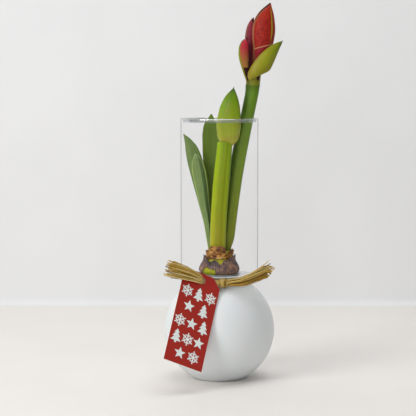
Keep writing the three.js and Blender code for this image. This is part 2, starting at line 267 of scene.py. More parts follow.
def between(name, first, second, bulge, thickness, rows=60, cols=36):
    """A leaf-like sheet between two edges given as functions of t. bulge is how far its middle
    stands towards the front; UV runs across from the first edge and along."""
    points, uv = [], []
    for t in np.linspace(0, 1, rows):
        a, b = first(t), second(t)
        outer, inner = [], []
        for j in range(cols):
            s = j / (cols - 1)
            crest = math.sin(math.pi * s) ** 0.8
            place = a.lerp(b, s) - Vector((0, bulge(t) * crest, 0))
            thin = thickness * (0.15 + 0.85 * crest) / 2
            outer.append(place - Vector((0, thin, 0)))
            inner.append(place + Vector((0, thin, 0)))
        points.append(outer + inner[::-1])
        row = [(j / (cols - 1), t) for j in range(cols)]
        uv.append(row + row[::-1])
    return skin(name, points, uv)


def turned(name, profile, count=144, ripple=lambda angle, z: 0.0):
    """A body turned about the vertical axis from (radius, z) pairs that start on the axis."""
    points = []
    for r, z in profile:
        row = []
        for a in ring_angles(count):
            radius = r + ripple(a, z)
            row.append((radius * math.cos(a), radius * math.sin(a), z))
        points.append(row)
    return skin(name, points)


def arc(centre_r, centre_z, radius, start, end, count):
    """Points of an arc in the (radius, z) plane; angles in degrees."""
    turns = np.radians(np.linspace(start, end, count))
    return [(centre_r + radius * math.cos(a), centre_z + radius * math.sin(a)) for a in turns]


def mounted(piece, slot, *nodes, materials=()):
    """Gives a piece its materials and its place in the frame."""
    for material in materials:
        piece.data.materials.append(material)
    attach(piece, "root")
    if nodes:
        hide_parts(*nodes)
    return piece


# ---- Materials ----


def colour(code):
    """An sRGB hex value as the linear colour that shaders use."""
    channels = [int(code[i:i + 2], 16) / 255 for i in (1, 3, 5)]
    return [c / 12.92 if c <= 0.04045 else ((c + 0.055) / 1.055) ** 2.4 for c in channels] + [1]


def add_node(tree, kind, inputs=None, stops=None, **settings):
    """Adds a node with its settings, its input values or links, and its colour stops."""
    made = tree.nodes.new(kind)
    for key, value in settings.items():
        setattr(made, key, value)
    for key, value in (inputs or {}).items():
        socket = made.inputs[key]
        if isinstance(value, bpy.types.NodeSocket):
            tree.links.new(value, socket)
        else:
            socket.default_value = value
    if stops:
        elements = made.color_ramp.elements
        while len(elements) < len(stops):
            elements.new(0.5)
        for element, (place, code) in zip(elements, stops):
            element.position = place
            element.color = colour(code)
    return made


def new_material(name):
    material = bpy.data.materials.new(name)
    material.use_nodes = True
    material.node_tree.nodes.clear()
    return material, material.node_tree


def close_material(tree, shader):
    output = tree.nodes.new("ShaderNodeOutputMaterial")
    tree.links.new(shader, output.inputs["Surface"])


def clear_glass():
    """Soda-lime glass, blown and fire-polished: it is seen by its rim, by its dark edges, where the
    wall is looked at end on and a painted shade stands for the dark room seen in the glass, and by
    a faint reflection."""
    material, tree = new_material("clear_blown_glass")
    edge = add_node(tree, "ShaderNodeLayerWeight", {"Blend": 0.5})
    # Painted shade: the see-through colour turns grey where the wall is seen end on, in place of the dark
    # room that real glass shows there.
    painted_edge_shade = add_node(tree, "ShaderNodeValToRGB", {"Fac": edge.outputs["Facing"]}, stops=[
        (0.0, "#ffffff"), (0.78, "#fdfdfd"), (0.88, "#d4d6d7"), (1.0, "#5f6466"),
    ])
    through = add_node(tree, "ShaderNodeBsdfTransparent", {"Color": painted_edge_shade.outputs["Color"]})
    gloss = add_node(tree, "ShaderNodeBsdfGlossy", {"Color": colour("#ffffff"), "Roughness": 0.05})
    share = add_node(tree, "ShaderNodeValToRGB", {"Fac": edge.outputs["Facing"]}, stops=[
        (0.0, "#080808"), (0.5, "#101010"), (0.8, "#333333"), (1.0, "#6a6a6a"),
    ])
    both = add_node(tree, "ShaderNodeMixShader", {
        0: share.outputs["Color"], 1: through.outputs["BSDF"], 2: gloss.outputs["BSDF"],
    })
    close_material(tree, both.outputs["Shader"])
    return material


def glass_rim():
    """The cylinder's fire-polished rim, where the glass is thick enough to catch the light."""
    material, tree = new_material("fire_polished_rim")
    through = add_node(tree, "ShaderNodeBsdfTransparent", {"Color": colour("#d5d9da")})
    gloss = add_node(tree, "ShaderNodeBsdfGlossy", {"Color": colour("#ffffff"), "Roughness": 0.12})
    both = add_node(tree, "ShaderNodeMixShader", {
        0: 0.4, 1: through.outputs["BSDF"], 2: gloss.outputs["BSDF"],
    })
    close_material(tree, both.outputs["Shader"])
    return material


def inner_wall():
    """The inside of the clear wall, which only shows a trace of gloss."""
    material, tree = new_material("clear_inner_wall")
    through = add_node(tree, "ShaderNodeBsdfTransparent", {"Color": colour("#ffffff")})
    gloss = add_node(tree, "ShaderNodeBsdfGlossy", {"Color": colour("#ffffff"), "Roughness": 0.05})
    both = add_node(tree, "ShaderNodeMixShader", {
        0: 0.006, 1: through.outputs["BSDF"], 2: gloss.outputs["BSDF"],
    })
    close_material(tree, both.outputs["Shader"])
    return material


def frosted_glass(body):
    """The same glass, acid-etched and sprayed white inside: a satin, milky surface that
    scatters light a little below itself and mirrors the room only as a soft sheen."""
    material, tree = new_material("frosted_blown_glass")
    place = add_node(tree, "ShaderNodeTexCoord")
    # The etch is drawn at a 1.6 mm grain, coarser than the real one, so that it shows.
    grain = add_node(tree, "ShaderNodeTexNoise", {
        "Vector": place.outputs["Object"], "Scale": 1 / (1.6 * MM), "Detail": 2.0,
    })
    bump = add_node(tree, "ShaderNodeBump", {
        "Height": grain.outputs["Fac"], "Strength": 0.03, "Distance": 0.05 * MM,
    })
    shader = add_node(tree, "ShaderNodeBsdfPrincipled", {
        "Base Color": body, "Roughness": 0.36, "IOR": 1.5, "Specular IOR Level": 0.5,
        "Subsurface Weight": 0.15, "Subsurface Scale": 0.01, "Normal": bump.outputs["Normal"],
    })
    close_material(tree, shader.outputs["BSDF"])
    return material


def plant_skin(name, along, across=None, fibres=60.0, roughness=0.42, blotch="#6f8a20",
               blotch_share=0.25, bump_mm=0.12):
    """Living plant skin: its colour changes along the piece and across it, with fine veins
    that run its length. The skin is waxy, so it has a soft shine."""
    material, tree = new_material(name)
    place = add_node(tree, "ShaderNodeUVMap", uv_map="UVMap")
    parts = add_node(tree, "ShaderNodeSeparateXYZ", {"Vector": place.outputs["UV"]})
    base = add_node(tree, "ShaderNodeValToRGB", {"Fac": parts.outputs["Y"]}, stops=along)
    tone = base.outputs["Color"]
    if across:
        # On the scapes and the short leaf this across ramp carries painted light and shade as well as the
        # skin's own colour.
        side = add_node(tree, "ShaderNodeValToRGB", {"Fac": parts.outputs["X"]}, stops=across)
        mixed = add_node(tree, "ShaderNodeMix", {
            0: 1.0, 6: tone, 7: side.outputs["Color"],
        }, data_type="RGBA", blend_type="MULTIPLY")
        tone = mixed.outputs[2]
    stretch = add_node(tree, "ShaderNodeMapping", {
        "Vector": place.outputs["UV"], "Scale": (fibres, 1.6, 1.0),
    })
    veins = add_node(tree, "ShaderNodeTexNoise", {
        "Vector": stretch.outputs["Vector"], "Scale": 1.0, "Detail": 3.0, "Roughness": 0.55,
    })
    spots = add_node(tree, "ShaderNodeTexNoise", {
        "Vector": add_node(tree, "ShaderNodeTexCoord").outputs["Object"],
        "Scale": 1 / (9 * MM), "Detail": 3.0,
    })
    patch = add_node(tree, "ShaderNodeMapRange", {
        0: spots.outputs["Fac"], 1: 0.42, 2: 0.72, 3: 0.0, 4: blotch_share,
    })
    stained = add_node(tree, "ShaderNodeMix", {
        0: patch.outputs[0], 6: tone, 7: colour(blotch),
    }, data_type="RGBA")
    lit = add_node(tree, "ShaderNodeMapRange", {
        0: veins.outputs["Fac"], 1: 0.3, 2: 0.7, 3: 0.84, 4: 1.12,
    })
    final = add_node(tree, "ShaderNodeMix", {
        0: 1.0, 6: stained.outputs[2], 7: lit.outputs[0],
    }, data_type="RGBA", blend_type="MULTIPLY")
    bump = add_node(tree, "ShaderNodeBump", {
        "Height": veins.outputs["Fac"], "Strength": 0.6, "Distance": bump_mm * MM,
    })
    shader = add_node(tree, "ShaderNodeBsdfPrincipled", {
        "Base Color": final.outputs[2], "Roughness": roughness, "IOR": 1.42,
        "Specular IOR Level": 0.3, "Subsurface Weight": 0.05, "Subsurface Scale": 0.004,
        "Normal": bump.outputs["Normal"],
    })
    close_material(tree, shader.outputs["BSDF"])
    return material


def tepal_skin(name, body, low, margin, midrib, margin_width=0.12, low_share=0.45):
    """A red tepal before it opens: crimson veins under an orange-red bloom, a pale margin
    and a green-yellow midrib."""
    material, tree = new_material(name)
    place = add_node(tree, "ShaderNodeUVMap", uv_map="UVMap")
    parts = add_node(tree, "ShaderNodeSeparateXYZ", {"Vector": place.outputs["UV"]})
    stretch = add_node(tree, "ShaderNodeMapping", {
        "Vector": place.outputs["UV"], "Scale": (42.0, 20.0, 1.0),
    })
    veins = add_node(tree, "ShaderNodeTexNoise", {
        "Vector": stretch.outputs["Vector"], "Scale": 1.0, "Detail": 4.0, "Roughness": 0.65,
        "Distortion": 1.2,
    })
    height = add_node(tree, "ShaderNodeMapRange", {
        0: parts.outputs["Y"], 1: low_share - 0.1, 2: low_share + 0.45, 3: 1.0, 4: 0.0,
    })
    mottle = add_node(tree, "ShaderNodeMapRange", {
        0: veins.outputs["Fac"], 1: 0.36, 2: 0.6, 3: 1.0, 4: 0.25,
    })
    depth = add_node(tree, "ShaderNodeMath", {
        0: mottle.outputs[0], 1: height.outputs[0],
    }, operation="MULTIPLY")
    red = add_node(tree, "ShaderNodeMix", {
        0: depth.outputs[0], 6: colour(body), 7: colour(low),
    }, data_type="RGBA")
    fine = add_node(tree, "ShaderNodeMapRange", {
        0: veins.outputs["Fac"], 1: 0.32, 2: 0.68, 3: 0.62, 4: 1.3,
    })
    streaked = add_node(tree, "ShaderNodeMix", {
        0: 1.0, 6: red.outputs[2], 7: fine.outputs[0],
    }, data_type="RGBA", blend_type="MULTIPLY")
    rib = add_node(tree, "ShaderNodeValToRGB", {"Fac": parts.outputs["X"]}, stops=[
        (0.0, "#000000"), (0.475, "#000000"), (0.492, "#ffffff"), (0.508, "#ffffff"),
        (0.53, "#000000"), (1.0, "#000000"),
    ])
    rib_end = add_node(tree, "ShaderNodeMapRange", {
        0: parts.outputs["Y"], 1: 0.42, 2: 0.58, 3: 0.15, 4: 0.95,
    })
    rib_share = add_node(tree, "ShaderNodeMath", {
        0: rib.outputs["Color"], 1: rib_end.outputs[0],
    }, operation="MULTIPLY")
    ribbed = add_node(tree, "ShaderNodeMix", {
        0: rib_share.outputs[0], 6: streaked.outputs[2], 7: colour(midrib),
    }, data_type="RGBA")
    edge = add_node(tree, "ShaderNodeValToRGB", {"Fac": parts.outputs["X"]}, stops=[
        (0.0, "#ffffff"), (margin_width * 0.5, "#cfcfcf"), (margin_width, "#000000"),
        (1 - margin_width, "#000000"), (1 - margin_width * 0.5, "#cfcfcf"), (1.0, "#ffffff"),
    ])
    edged = add_node(tree, "ShaderNodeMix", {
        0: edge.outputs["Color"], 6: ribbed.outputs[2], 7: colour(margin),
    }, data_type="RGBA")
    bump = add_node(tree, "ShaderNodeBump", {
        "Height": veins.outputs["Fac"], "Strength": 0.7, "Distance": 0.25 * MM,
    })
    shader = add_node(tree, "ShaderNodeBsdfPrincipled", {
        "Base Color": edged.outputs[2], "Roughness": 0.5, "IOR": 1.42,
        "Specular IOR Level": 0.25, "Subsurface Weight": 0.05, "Subsurface Scale": 0.003,
        "Normal": bump.outputs["Normal"],
    })
    close_material(tree, shader.outputs["BSDF"])
    return material


def papery_skin(name, tones, grain_mm, roughness=0.62, bump_mm=0.5, stretch=(1.0, 1.0, 0.3)):
    """Dried leaf base: thin, brittle and fibrous, with blotches and creases along the fibres."""
    material, tree = new_material(name)
    place = add_node(tree, "ShaderNodeTexCoord")
    fibre_place = add_node(tree, "ShaderNodeMapping", {
        "Vector": place.outputs["Object"], "Scale": stretch,
    })
    fibres = add_node(tree, "ShaderNodeTexNoise", {
        "Vector": fibre_place.outputs["Vector"], "Scale": 1 / (grain_mm * MM), "Detail": 6.0,
        "Roughness": 0.65,
    })
    blotches = add_node(tree, "ShaderNodeTexNoise", {
        "Vector": place.outputs["Object"], "Scale": 1 / (13 * MM), "Detail": 2.0,
    })
    both = add_node(tree, "ShaderNodeMath", {
        0: fibres.outputs["Fac"], 1: blotches.outputs["Fac"],
    }, operation="ADD")
    level = add_node(tree, "ShaderNodeMapRange", {0: both.outputs[0], 1: 0.72, 2: 1.28})
    tone = add_node(tree, "ShaderNodeValToRGB", {"Fac": level.outputs[0]}, stops=tones)
    bump = add_node(tree, "ShaderNodeBump", {
        "Height": fibres.outputs["Fac"], "Strength": 0.8, "Distance": bump_mm * MM,
    })
    shader = add_node(tree, "ShaderNodeBsdfPrincipled", {
        "Base Color": tone.outputs["Color"], "Roughness": roughness, "IOR": 1.45,
        "Normal": bump.outputs["Normal"],
    })
    close_material(tree, shader.outputs["BSDF"])
    return material


def raffia_fibre():
    """Palm-leaf raffia, split and dried: every strand has its own straw tone, a silky side
    and fine lines along it."""
    material, tree = new_material("dried_raffia")
    own = add_node(tree, "ShaderNodeAttribute", attribute_name="strand")
    tone = add_node(tree, "ShaderNodeValToRGB", {"Fac": own.outputs["Fac"]}, stops=[
        (0.0, "#5e4212"), (0.18, "#98721f"), (0.42, "#c29a40"), (0.7, "#d8ba66"), (1.0, "#efe0aa"),
    ])
    place = add_node(tree, "ShaderNodeTexCoord")
    lines = add_node(tree, "ShaderNodeTexNoise", {
        "Vector": place.outputs["Object"], "Scale": 1 / (1.4 * MM), "Detail": 4.0,
    })
    shade = add_node(tree, "ShaderNodeMapRange", {
        0: lines.outputs["Fac"], 1: 0.3, 2: 0.7, 3: 0.74, 4: 1.15,
    })
    final = add_node(tree, "ShaderNodeMix", {
        0: 1.0, 6: tone.outputs["Color"], 7: shade.outputs[0],
    }, data_type="RGBA", blend_type="MULTIPLY")
    bump = add_node(tree, "ShaderNodeBump", {
        "Height": lines.outputs["Fac"], "Strength": 0.5, "Distance": 0.15 * MM,
    })
    shader = add_node(tree, "ShaderNodeBsdfPrincipled", {
        "Base Color": final.outputs[2], "Roughness": 0.55, "IOR": 1.45, "Specular IOR Level": 0.3,
        "Normal": bump.outputs["Normal"],
    })
    close_material(tree, shader.outputs["BSDF"])
    return material


def card_stock(name, body, roughness=0.5):
    """Uncoated card, about 350 g: matt, with a felt texture left by the paper machine."""
    material, tree = new_material(name)
    place = add_node(tree, "ShaderNodeTexCoord")
    felt = add_node(tree, "ShaderNodeTexNoise", {
        "Vector": place.outputs["Object"], "Scale": 1 / (1.1 * MM), "Detail": 5.0,
    })
    shade = add_node(tree, "ShaderNodeMapRange", {
        0: felt.outputs["Fac"], 1: 0.3, 2: 0.7, 3: 0.9, 4: 1.08,
    })
    tone = add_node(tree, "ShaderNodeMix", {
        0: 1.0, 6: body, 7: shade.outputs[0],
    }, data_type="RGBA", blend_type="MULTIPLY")
    bump = add_node(tree, "ShaderNodeBump", {
        "Height": felt.outputs["Fac"], "Strength": 0.35, "Distance": 0.06 * MM,
    })
    shader = add_node(tree, "ShaderNodeBsdfPrincipled", {
        "Base Color": tone.outputs[2], "Roughness": roughness, "IOR": 1.45,
        "Normal": bump.outputs["Normal"],
    })
    close_material(tree, shader.outputs["BSDF"])
    return material


def plaster(name, body):
    """Painted plaster: matt, with broad faint clouds. It is open from behind, so that the
    object can be looked at from every side."""
    material, tree = new_material(name)
    place = add_node(tree, "ShaderNodeTexCoord")
    cloud = add_node(tree, "ShaderNodeTexNoise", {
        "Vector": place.outputs["Object"], "Scale": 1 / (160 * MM), "Detail": 4.0,
    })
    shade = add_node(tree, "ShaderNodeMapRange", {
        0: cloud.outputs["Fac"], 1: 0.3, 2: 0.7, 3: 0.975, 4: 1.01,
    })
    tone = add_node(tree, "ShaderNodeMix", {
        0: 1.0, 6: body, 7: shade.outputs[0],
    }, data_type="RGBA", blend_type="MULTIPLY")
    shader = add_node(tree, "ShaderNodeBsdfPrincipled", {
        "Base Color": tone.outputs[2], "Roughness": 0.6, "Specular IOR Level": 0.3,
    })
    side = add_node(tree, "ShaderNodeNewGeometry")
    open_back = add_node(tree, "ShaderNodeBsdfTransparent")
    both = add_node(tree, "ShaderNodeMixShader", {
        0: side.outputs["Backfacing"], 1: shader.outputs["BSDF"], 2: open_back.outputs["BSDF"],
    })
    close_material(tree, both.outputs["Shader"])
    return material


# ---- Geometry Nodes ----


def new_tree(name, **inputs):
    """A geometry tree with named inputs, each given as (socket kind, default)."""
    tree = bpy.data.node_groups.new(name, "GeometryNodeTree")
    tree.interface.new_socket("Geometry", in_out="INPUT", socket_type="NodeSocketGeometry")
    for label, (kind, value) in inputs.items():
        socket = tree.interface.new_socket(label, in_out="INPUT", socket_type=kind)
        if value is not None:
            socket.default_value = value
    tree.interface.new_socket("Geometry", in_out="OUTPUT", socket_type="NodeSocketGeometry")
    return tree, tree.nodes.new("NodeGroupInput")


def close_tree(tree, geometry, material):
    """Ends a tree in Realize Instances and Set Material."""
    real = add_node(tree, "GeometryNodeRealizeInstances", {"Geometry": geometry})
    dressed = add_node(tree, "GeometryNodeSetMaterial", {
        "Geometry": real.outputs["Geometry"], "Material": material,
    })
    output = tree.nodes.new("NodeGroupOutput")
    tree.links.new(dressed.outputs["Geometry"], output.inputs[0])


def grown(name, source, tree, **values):
    """Runs a tree on a source object and keeps the result as a plain mesh."""
    modifier = source.modifiers.new("grow", "NODES")
    modifier.node_group = tree
    for item in tree.interface.items_tree:
        if item.in_out == "INPUT" and item.name in values:
            modifier[item.identifier] = values[item.name]
    graph = bpy.context.evaluated_depsgraph_get()
    mesh = bpy.data.meshes.new_from_object(source.evaluated_get(graph))
    bpy.data.objects.remove(source)
    mesh.name = name
    piece = bpy.data.objects.new(name, mesh)
    bpy.context.collection.objects.link(piece)
    return piece


def strand_tree(material):
    """Turns each path into a flat strand with its own tone."""
    tree, source = new_tree(
        "strands",
        Width=("NodeSocketFloat", 1.2 * MM),
        Thickness=("NodeSocketFloat", 0.3 * MM),
        Seed=("NodeSocketInt", 1),
    )
    tone = add_node(tree, "FunctionNodeRandomValue", {"Seed": source.outputs["Seed"]})
    named = add_node(tree, "GeometryNodeStoreNamedAttribute", {
        "Geometry": source.outputs["Geometry"], "Name": "strand", "Value": tone.outputs[1],
    }, data_type="FLOAT", domain="CURVE")
    outline = add_node(tree, "GeometryNodeCurvePrimitiveQuadrilateral", {
        "Width": source.outputs["Width"], "Height": source.outputs["Thickness"],
    })
    ribbon = add_node(tree, "GeometryNodeCurveToMesh", {
        "Curve": named.outputs["Geometry"], "Profile Curve": outline.outputs["Curve"],
        "Fill Caps": True,
    })
    close_tree(tree, ribbon.outputs["Mesh"], material)
    return tree


def paths_object(paths, tilts=None):
    """A curve object with one polyline for each path."""
    data = bpy.data.curves.new("paths", "CURVE")
    data.dimensions = "3D"
    for n, path in enumerate(paths):
        spline = data.splines.new("POLY")
        spline.points.add(len(path) - 1)
        for i, (point, place) in enumerate(zip(spline.points, path)):
            point.co = (*place, 1)
            point.tilt = tilts[n](i / (len(path) - 1)) if tilts else 0.0
    source = bpy.data.objects.new("paths", data)
    bpy.context.collection.objects.link(source)
    return source


# ---- Sizes and colours that a user would change ----


class VaseSettings(bpy.types.PropertyGroup):
    wall: bpy.props.FloatProperty(
        name="Wall", description="Thickness of the glass wall", unit="LENGTH", default=2.5 * MM)
    neck: bpy.props.FloatProperty(
        name="Neck radius", description="Outside radius of the pinched neck", unit="LENGTH",
        default=24.5 * MM)
    frost: bpy.props.FloatVectorProperty(
        name="Frost colour", description="Body colour of the frosted globe", subtype="COLOR",
        size=4, default=colour("#e0e2e3"))


class PlantSettings(bpy.types.PropertyGroup):
    leaf_thickness: bpy.props.FloatProperty(
        name="Leaf thickness", description="Thickness of a leaf blade at its midrib",
        unit="LENGTH", default=2.4 * MM)
    roots: bpy.props.IntProperty(
        name="Roots", description="Number of roots under the bulb", default=14)


class TieSettings(bpy.types.PropertyGroup):
    strand: bpy.props.FloatProperty(
        name="Strand width", description="Width of one raffia strand", unit="LENGTH",
        default=1.3 * MM)
    strands: bpy.props.IntProperty(
        name="Strands", description="Strands in each tail of the tie", default=72)
    seed: bpy.props.IntProperty(name="Seed", description="Seed of the strands", default=7)


class TagSettings(bpy.types.PropertyGroup):
    card: bpy.props.FloatVectorProperty(
        name="Card colour", description="Colour of the printed card", subtype="COLOR", size=4,
        default=colour("#a01f10"))
    ink: bpy.props.FloatVectorProperty(
        name="Ink colour", description="Colour of the printed motifs", subtype="COLOR", size=4,
        default=colour("#e4ebe8"))


# ---- Vase ----


def vase_profile(wall, neck):
    """The vase's outline from the axis, up the outside and down the inside, with the rows at
    which the clear wall, the rim and the inner wall begin, and where the frost goes on."""
    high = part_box("vase")[1]
    radius = high.x
    corners = triangles("vase").reshape(-1, 3)
    floor = corners[corners[:, 2] < 0.2 * MM]
    base = np.hypot(floor[:, 0], floor[:, 1]).max()
    centre = math.sqrt(radius ** 2 - base ** 2)
    outer = cut(triangles("vase"), 2, (centre + high.z) * 0.6)
    tube_radius = np.hypot(outer[:, 0], outer[:, 1]).max()
    neck_z = centre + math.sqrt(radius ** 2 - neck ** 2) + 1.0 * MM
    shoulder = neck_z + 3.3 * MM
    corner = 8 * MM
    inner = radius - wall
    foot = -math.degrees(math.acos(base / radius))
    top = math.degrees(math.acos((neck + 1.6 * MM) / radius))
    inner_top = math.degrees(math.acos((neck - wall + 2 * MM) / inner))
    inner_foot = -math.degrees(math.acos((base - MM) / inner))
    corner_r = tube_radius - corner
    lip = wall / 2
    outside = [(NEAR_AXIS, 0.0), (base * 0.5, 0.0), (base - 1.2 * MM, 0.0), (base - 0.4 * MM, 0.15 * MM)]
    outside += arc(0, centre, radius, foot + 1.2, top, 60)
    outside += [(neck + 0.3 * MM, neck_z - 0.5 * MM), (neck, neck_z), (neck + 0.4 * MM, neck_z + 1.1 * MM)]
    outside += [(neck + 2.2 * MM, shoulder - 0.8 * MM), (neck + 5 * MM, shoulder - 0.2 * MM)]
    clear_from = len(outside)
    sides = arc(corner_r, shoulder + corner, corner, -90, 0, 10)
    sides += [(tube_radius, z) for z in np.linspace(shoulder + corner + 4 * MM, high.z - lip - 4 * MM, 14)]
    rim = arc(tube_radius - lip, high.z - lip, lip, 0, 180, 10)
    inside = [
        (tube_radius - wall, z)
        for z in np.linspace(high.z - lip - 4 * MM, shoulder + corner + 4 * MM, 14)
    ]
    inside += arc(corner_r, shoulder + corner, corner - wall, 0, -90, 10)
    rim_from = clear_from + len(sides)
    clear_rows = (clear_from, rim_from, rim_from + len(rim), rim_from + len(rim) + len(inside))
    bowl = [(neck + 4 * MM, shoulder + wall - 0.8 * MM), (neck, neck_z + 3 * MM), (neck - wall, neck_z)]
    bowl += arc(0, centre, inner, inner_top, inner_foot, 50)
    bowl += [(base * 0.5, wall), (NEAR_AXIS, wall)]
    return outside + sides + rim + inside + bowl, clear_rows


class BuildVase(bpy.types.Operator):
    """Blow the vase: a frosted globe and a clear cylinder in one wall of glass"""

    bl_idname = "amaryllis.vase"
    bl_label = "Vase"

    def execute(self, context):
        settings = context.scene.amaryllis_vase
        profile, clear_rows = vase_profile(settings.wall, settings.neck)
        count = 144
        piece = turned("blown_vase", profile, count)
        materials = [frosted_glass(settings.frost), clear_glass(), glass_rim(), inner_wall()]
        mounted(piece, "blown_glass", "vase", materials=materials)
        for face in piece.data.polygons:
            passed = sum(face.index // count >= row for row in clear_rows)
            face.material_index = passed % 4
        return {"FINISHED"}


# ---- Bulb ----


BULB_FLESH = [(0.0, "#7c8418"), (0.4, "#a5a81c"), (0.7, "#b8b420"), (1.0, "#c4bc38")]
TUNIC_TONES = [
    (0.0, "#1c1214"), (0.22, "#3c2c2e"), (0.48, "#604a48"), (0.72, "#84624e"), (1.0, "#a67e5c"),
]
SCALE_TONES = [
    (0.0, "#240f05"), (0.28, "#5c3010"), (0.5, "#96601f"), (0.75, "#bd8a3c"), (1.0, "#dcb878"),
]


def torn_here(x, z, facing_front):
    """Whether the tunic is torn away at this place on its front or back, in millimetres."""
    ragged = 1.6 * wobble(x * 0.35, z * 0.1, 3.0) + 1.1 * wobble(x * 1.1, z * 0.9, 8.0)
    if not facing_front:
        return z > 165 + 2 * ragged
    # The upper tear runs across the front, with two dark notches below it.
    edge = 161.5 - 4.5 * math.exp(-((x + 14) / 4.2) ** 2) - 3.4 * math.exp(-((x - 1.5) / 2.6) ** 2)
    edge += 0.14 * abs(x) ** 1.3
    if z > edge + ragged:
        return True
    # The side tear is a rounded patch low on the left.
    u, v = (x + 14.5) / 10.5, (z - 146.5) / 7.2
    return u * u + v * v + 0.36 * ragged < 0.9


def tunic_mesh():
    """The papery skin: a fine grid round the bulb without the torn places, made thick."""
    sections = Sections("bulb_tunic", count=14)
    rows, cols = 110, 300
    low, high = sections.levels[0], sections.levels[-1]
    verts, faces = [], []
    for i in range(rows + 1):
        z = low + (high - low) * i / rows
        _, half = sections.at(i / rows)
        for j in range(cols):
            a = math.pi / 2 + 2 * math.pi * j / cols
            crease = 0.35 * wobble(math.cos(a) * 9, math.sin(a) * 9, z / MM * 0.05)
            crease += 0.16 * wobble(math.cos(a) * 26, math.sin(a) * 26, z / MM * 0.12)
            curl = 1.2 * max(0.0, (z / MM - 163) / 9) * (0.4 + wobble(math.cos(a) * 4, math.sin(a) * 4))
            radius = half.x + (crease + curl - 0.35) * MM
            verts.append((radius * math.cos(a), radius * math.sin(a), z))
    for i in range(rows):
        for j in range(cols):
            k = (j + 1) % cols
            corners = [i * cols + j, i * cols + k, (i + 1) * cols + k, (i + 1) * cols + j]
            x, y, z = np.mean([verts[c] for c in corners], axis=0) / MM
            if not torn_here(x, z, y < 0):
                faces.append(corners)
    used = sorted({c for face in faces for c in face})
    place = {old: new for new, old in enumerate(used)}
    verts = [verts[c] for c in used]
    faces = [[place[c] for c in face] for face in faces]
    mesh = bpy.data.meshes.new("bulb_tunic_skin")
    mesh.from_pydata(verts, [], faces)
    mesh.shade_smooth()
    piece = bpy.data.objects.new("bulb_tunic_skin", mesh)
    bpy.context.collection.objects.link(piece)
    wall = piece.modifiers.new("wall", "SOLIDIFY")
    wall.thickness = 0.7 * MM
    wall.offset = -1
    return applied(piece)


def applied(piece):
    """The piece with its modifiers applied to a plain mesh."""
    graph = bpy.context.evaluated_depsgraph_get()
    mesh = bpy.data.meshes.new_from_object(piece.evaluated_get(graph))
    piece.modifiers.clear()
    piece.data = mesh
    return piece


class BuildBulb(bpy.types.Operator):
    """Grow the bulb, its torn tunic and the dry scales round its neck"""

    bl_idname = "amaryllis.bulb"
    bl_label = "Bulb"

    def execute(self, context):
        sections = Sections("bulb", count=14)
        flesh = tube(
            "bulb_flesh", sections, 60, 96,
            lambda a, t: 1 - 0.012 * (1 + math.sin(a * 14 + 3 * t)) * (0.4 + 0.6 * t),
        )
        green = plant_skin("bulb_scale_leaf", BULB_FLESH, fibres=90.0, blotch="#5d6a14",
                           blotch_share=0.5, bump_mm=0.3)
        mounted(flesh, "bulb_flesh", "bulb", materials=[green])
        paper = papery_skin("papery_tunic", TUNIC_TONES, grain_mm=3.2)
        mounted(tunic_mesh(), "papery_tunic", "bulb_tunic", materials=[paper])
        self.scales()
        return {"FINISHED"}

    def scales(self):
        """Each dry leaf base round the neck is a crumpled band with a broken top."""
        paper = papery_skin("dry_leaf_base", SCALE_TONES, grain_mm=2.2, bump_mm=0.9,
                            stretch=(0.35, 0.35, 1.6))
        for node, middle in (
            ("neck_scale_front", -14), ("neck_scale_right", 80),
            ("neck_scale_back", 172), ("neck_scale_left", 262),
        ):
            piece = dry_scale(node + "_dry", node, middle)
            mounted(piece, "dry_scale", node, materials=[paper])


def dry_scale(name, node, middle):
    low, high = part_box(node)
    neck = Sections("bulb", count=14).at(0.97)[1].x
    rows, cols = 40, 90
    points = []
    for i in range(rows):
        share = i / (rows - 1)
        outer, inner = [], []
        for j in range(cols):
            s = 2 * j / (cols - 1) - 1
            angle = math.radians(middle + 47 * s * (1 - 0.15 * share))
            top = 1 - 0.22 * abs(wobble(s * 4.5, middle)) - 0.25 * s ** 4
            z = low.z + (high.z - low.z) * share * top
            fold = 0.8 * math.sin(share * 17 + 5 * wobble(s * 2, share * 2, middle))
            fold += 0.7 * wobble(s * 6, share * 9, middle)
            out = neck + (1.4 + fold + 0.8 * share) * MM
            for ring, r in ((outer, out + 0.45 * MM), (inner, out - 0.45 * MM)):
                ring.append((r * math.sin(angle) + 0.6 * MM, -r * math.cos(angle), z))
        points.append(outer + inner[::-1])
    return skin(name, points)


class BuildRoots(bpy.types.Operator):
    """Grow the roots that hang from the bulb's plate into the globe"""

    bl_idname = "amaryllis.roots"
    bl_label = "Roots"

    def execute(self, context):
        low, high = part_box("root_cluster")
        reach = (high.x - low.x) / 2 - 1.8 * MM
        count = context.scene.amaryllis_plant.roots
        paths = []
        for n in range(count):
            angle = 2 * math.pi * n / count
            spread = reach * (0.55 + 0.45 * (n % 3) / 2)
            depth = (high.z - low.z - 2 * MM) * (0.72 + 0.28 * ((n * 5) % 7) / 6)
            path = []
            for t in np.linspace(0, 1, 22):
                r = 6 * MM + (spread - 6 * MM) * t ** 0.8
                bend = angle + 0.5 * wobble(n * 3.1, t * 2) * t
                path.append((r * math.cos(bend), r * math.sin(bend), high.z - MM - depth * t))
            paths.append(path)
        flesh = papery_skin("root_skin", [(0.0, "#cfc5a4"), (0.6, "#e6dfc8"), (1.0, "#f2eedd")],
                            grain_mm=2.5, roughness=0.5, bump_mm=0.1)
        tree, source = new_tree("roots", Radius=("NodeSocketFloat", 1.4 * MM))
        outline = add_node(tree, "GeometryNodeCurvePrimitiveCircle", {
            "Resolution": 10, "Radius": source.outputs["Radius"],
        })
        tubes = add_node(tree, "GeometryNodeCurveToMesh", {
            "Curve": source.outputs["Geometry"], "Profile Curve": outline.outputs["Curve"],
            "Fill Caps": True,
        })
        close_tree(tree, tubes.outputs["Mesh"], flesh)
        roots = grown("bulb_roots", paths_object(paths), tree)
        mounted(roots, "bulb_root", "root_cluster")
        return {"FINISHED"}


# ---- Leaves and scapes ----


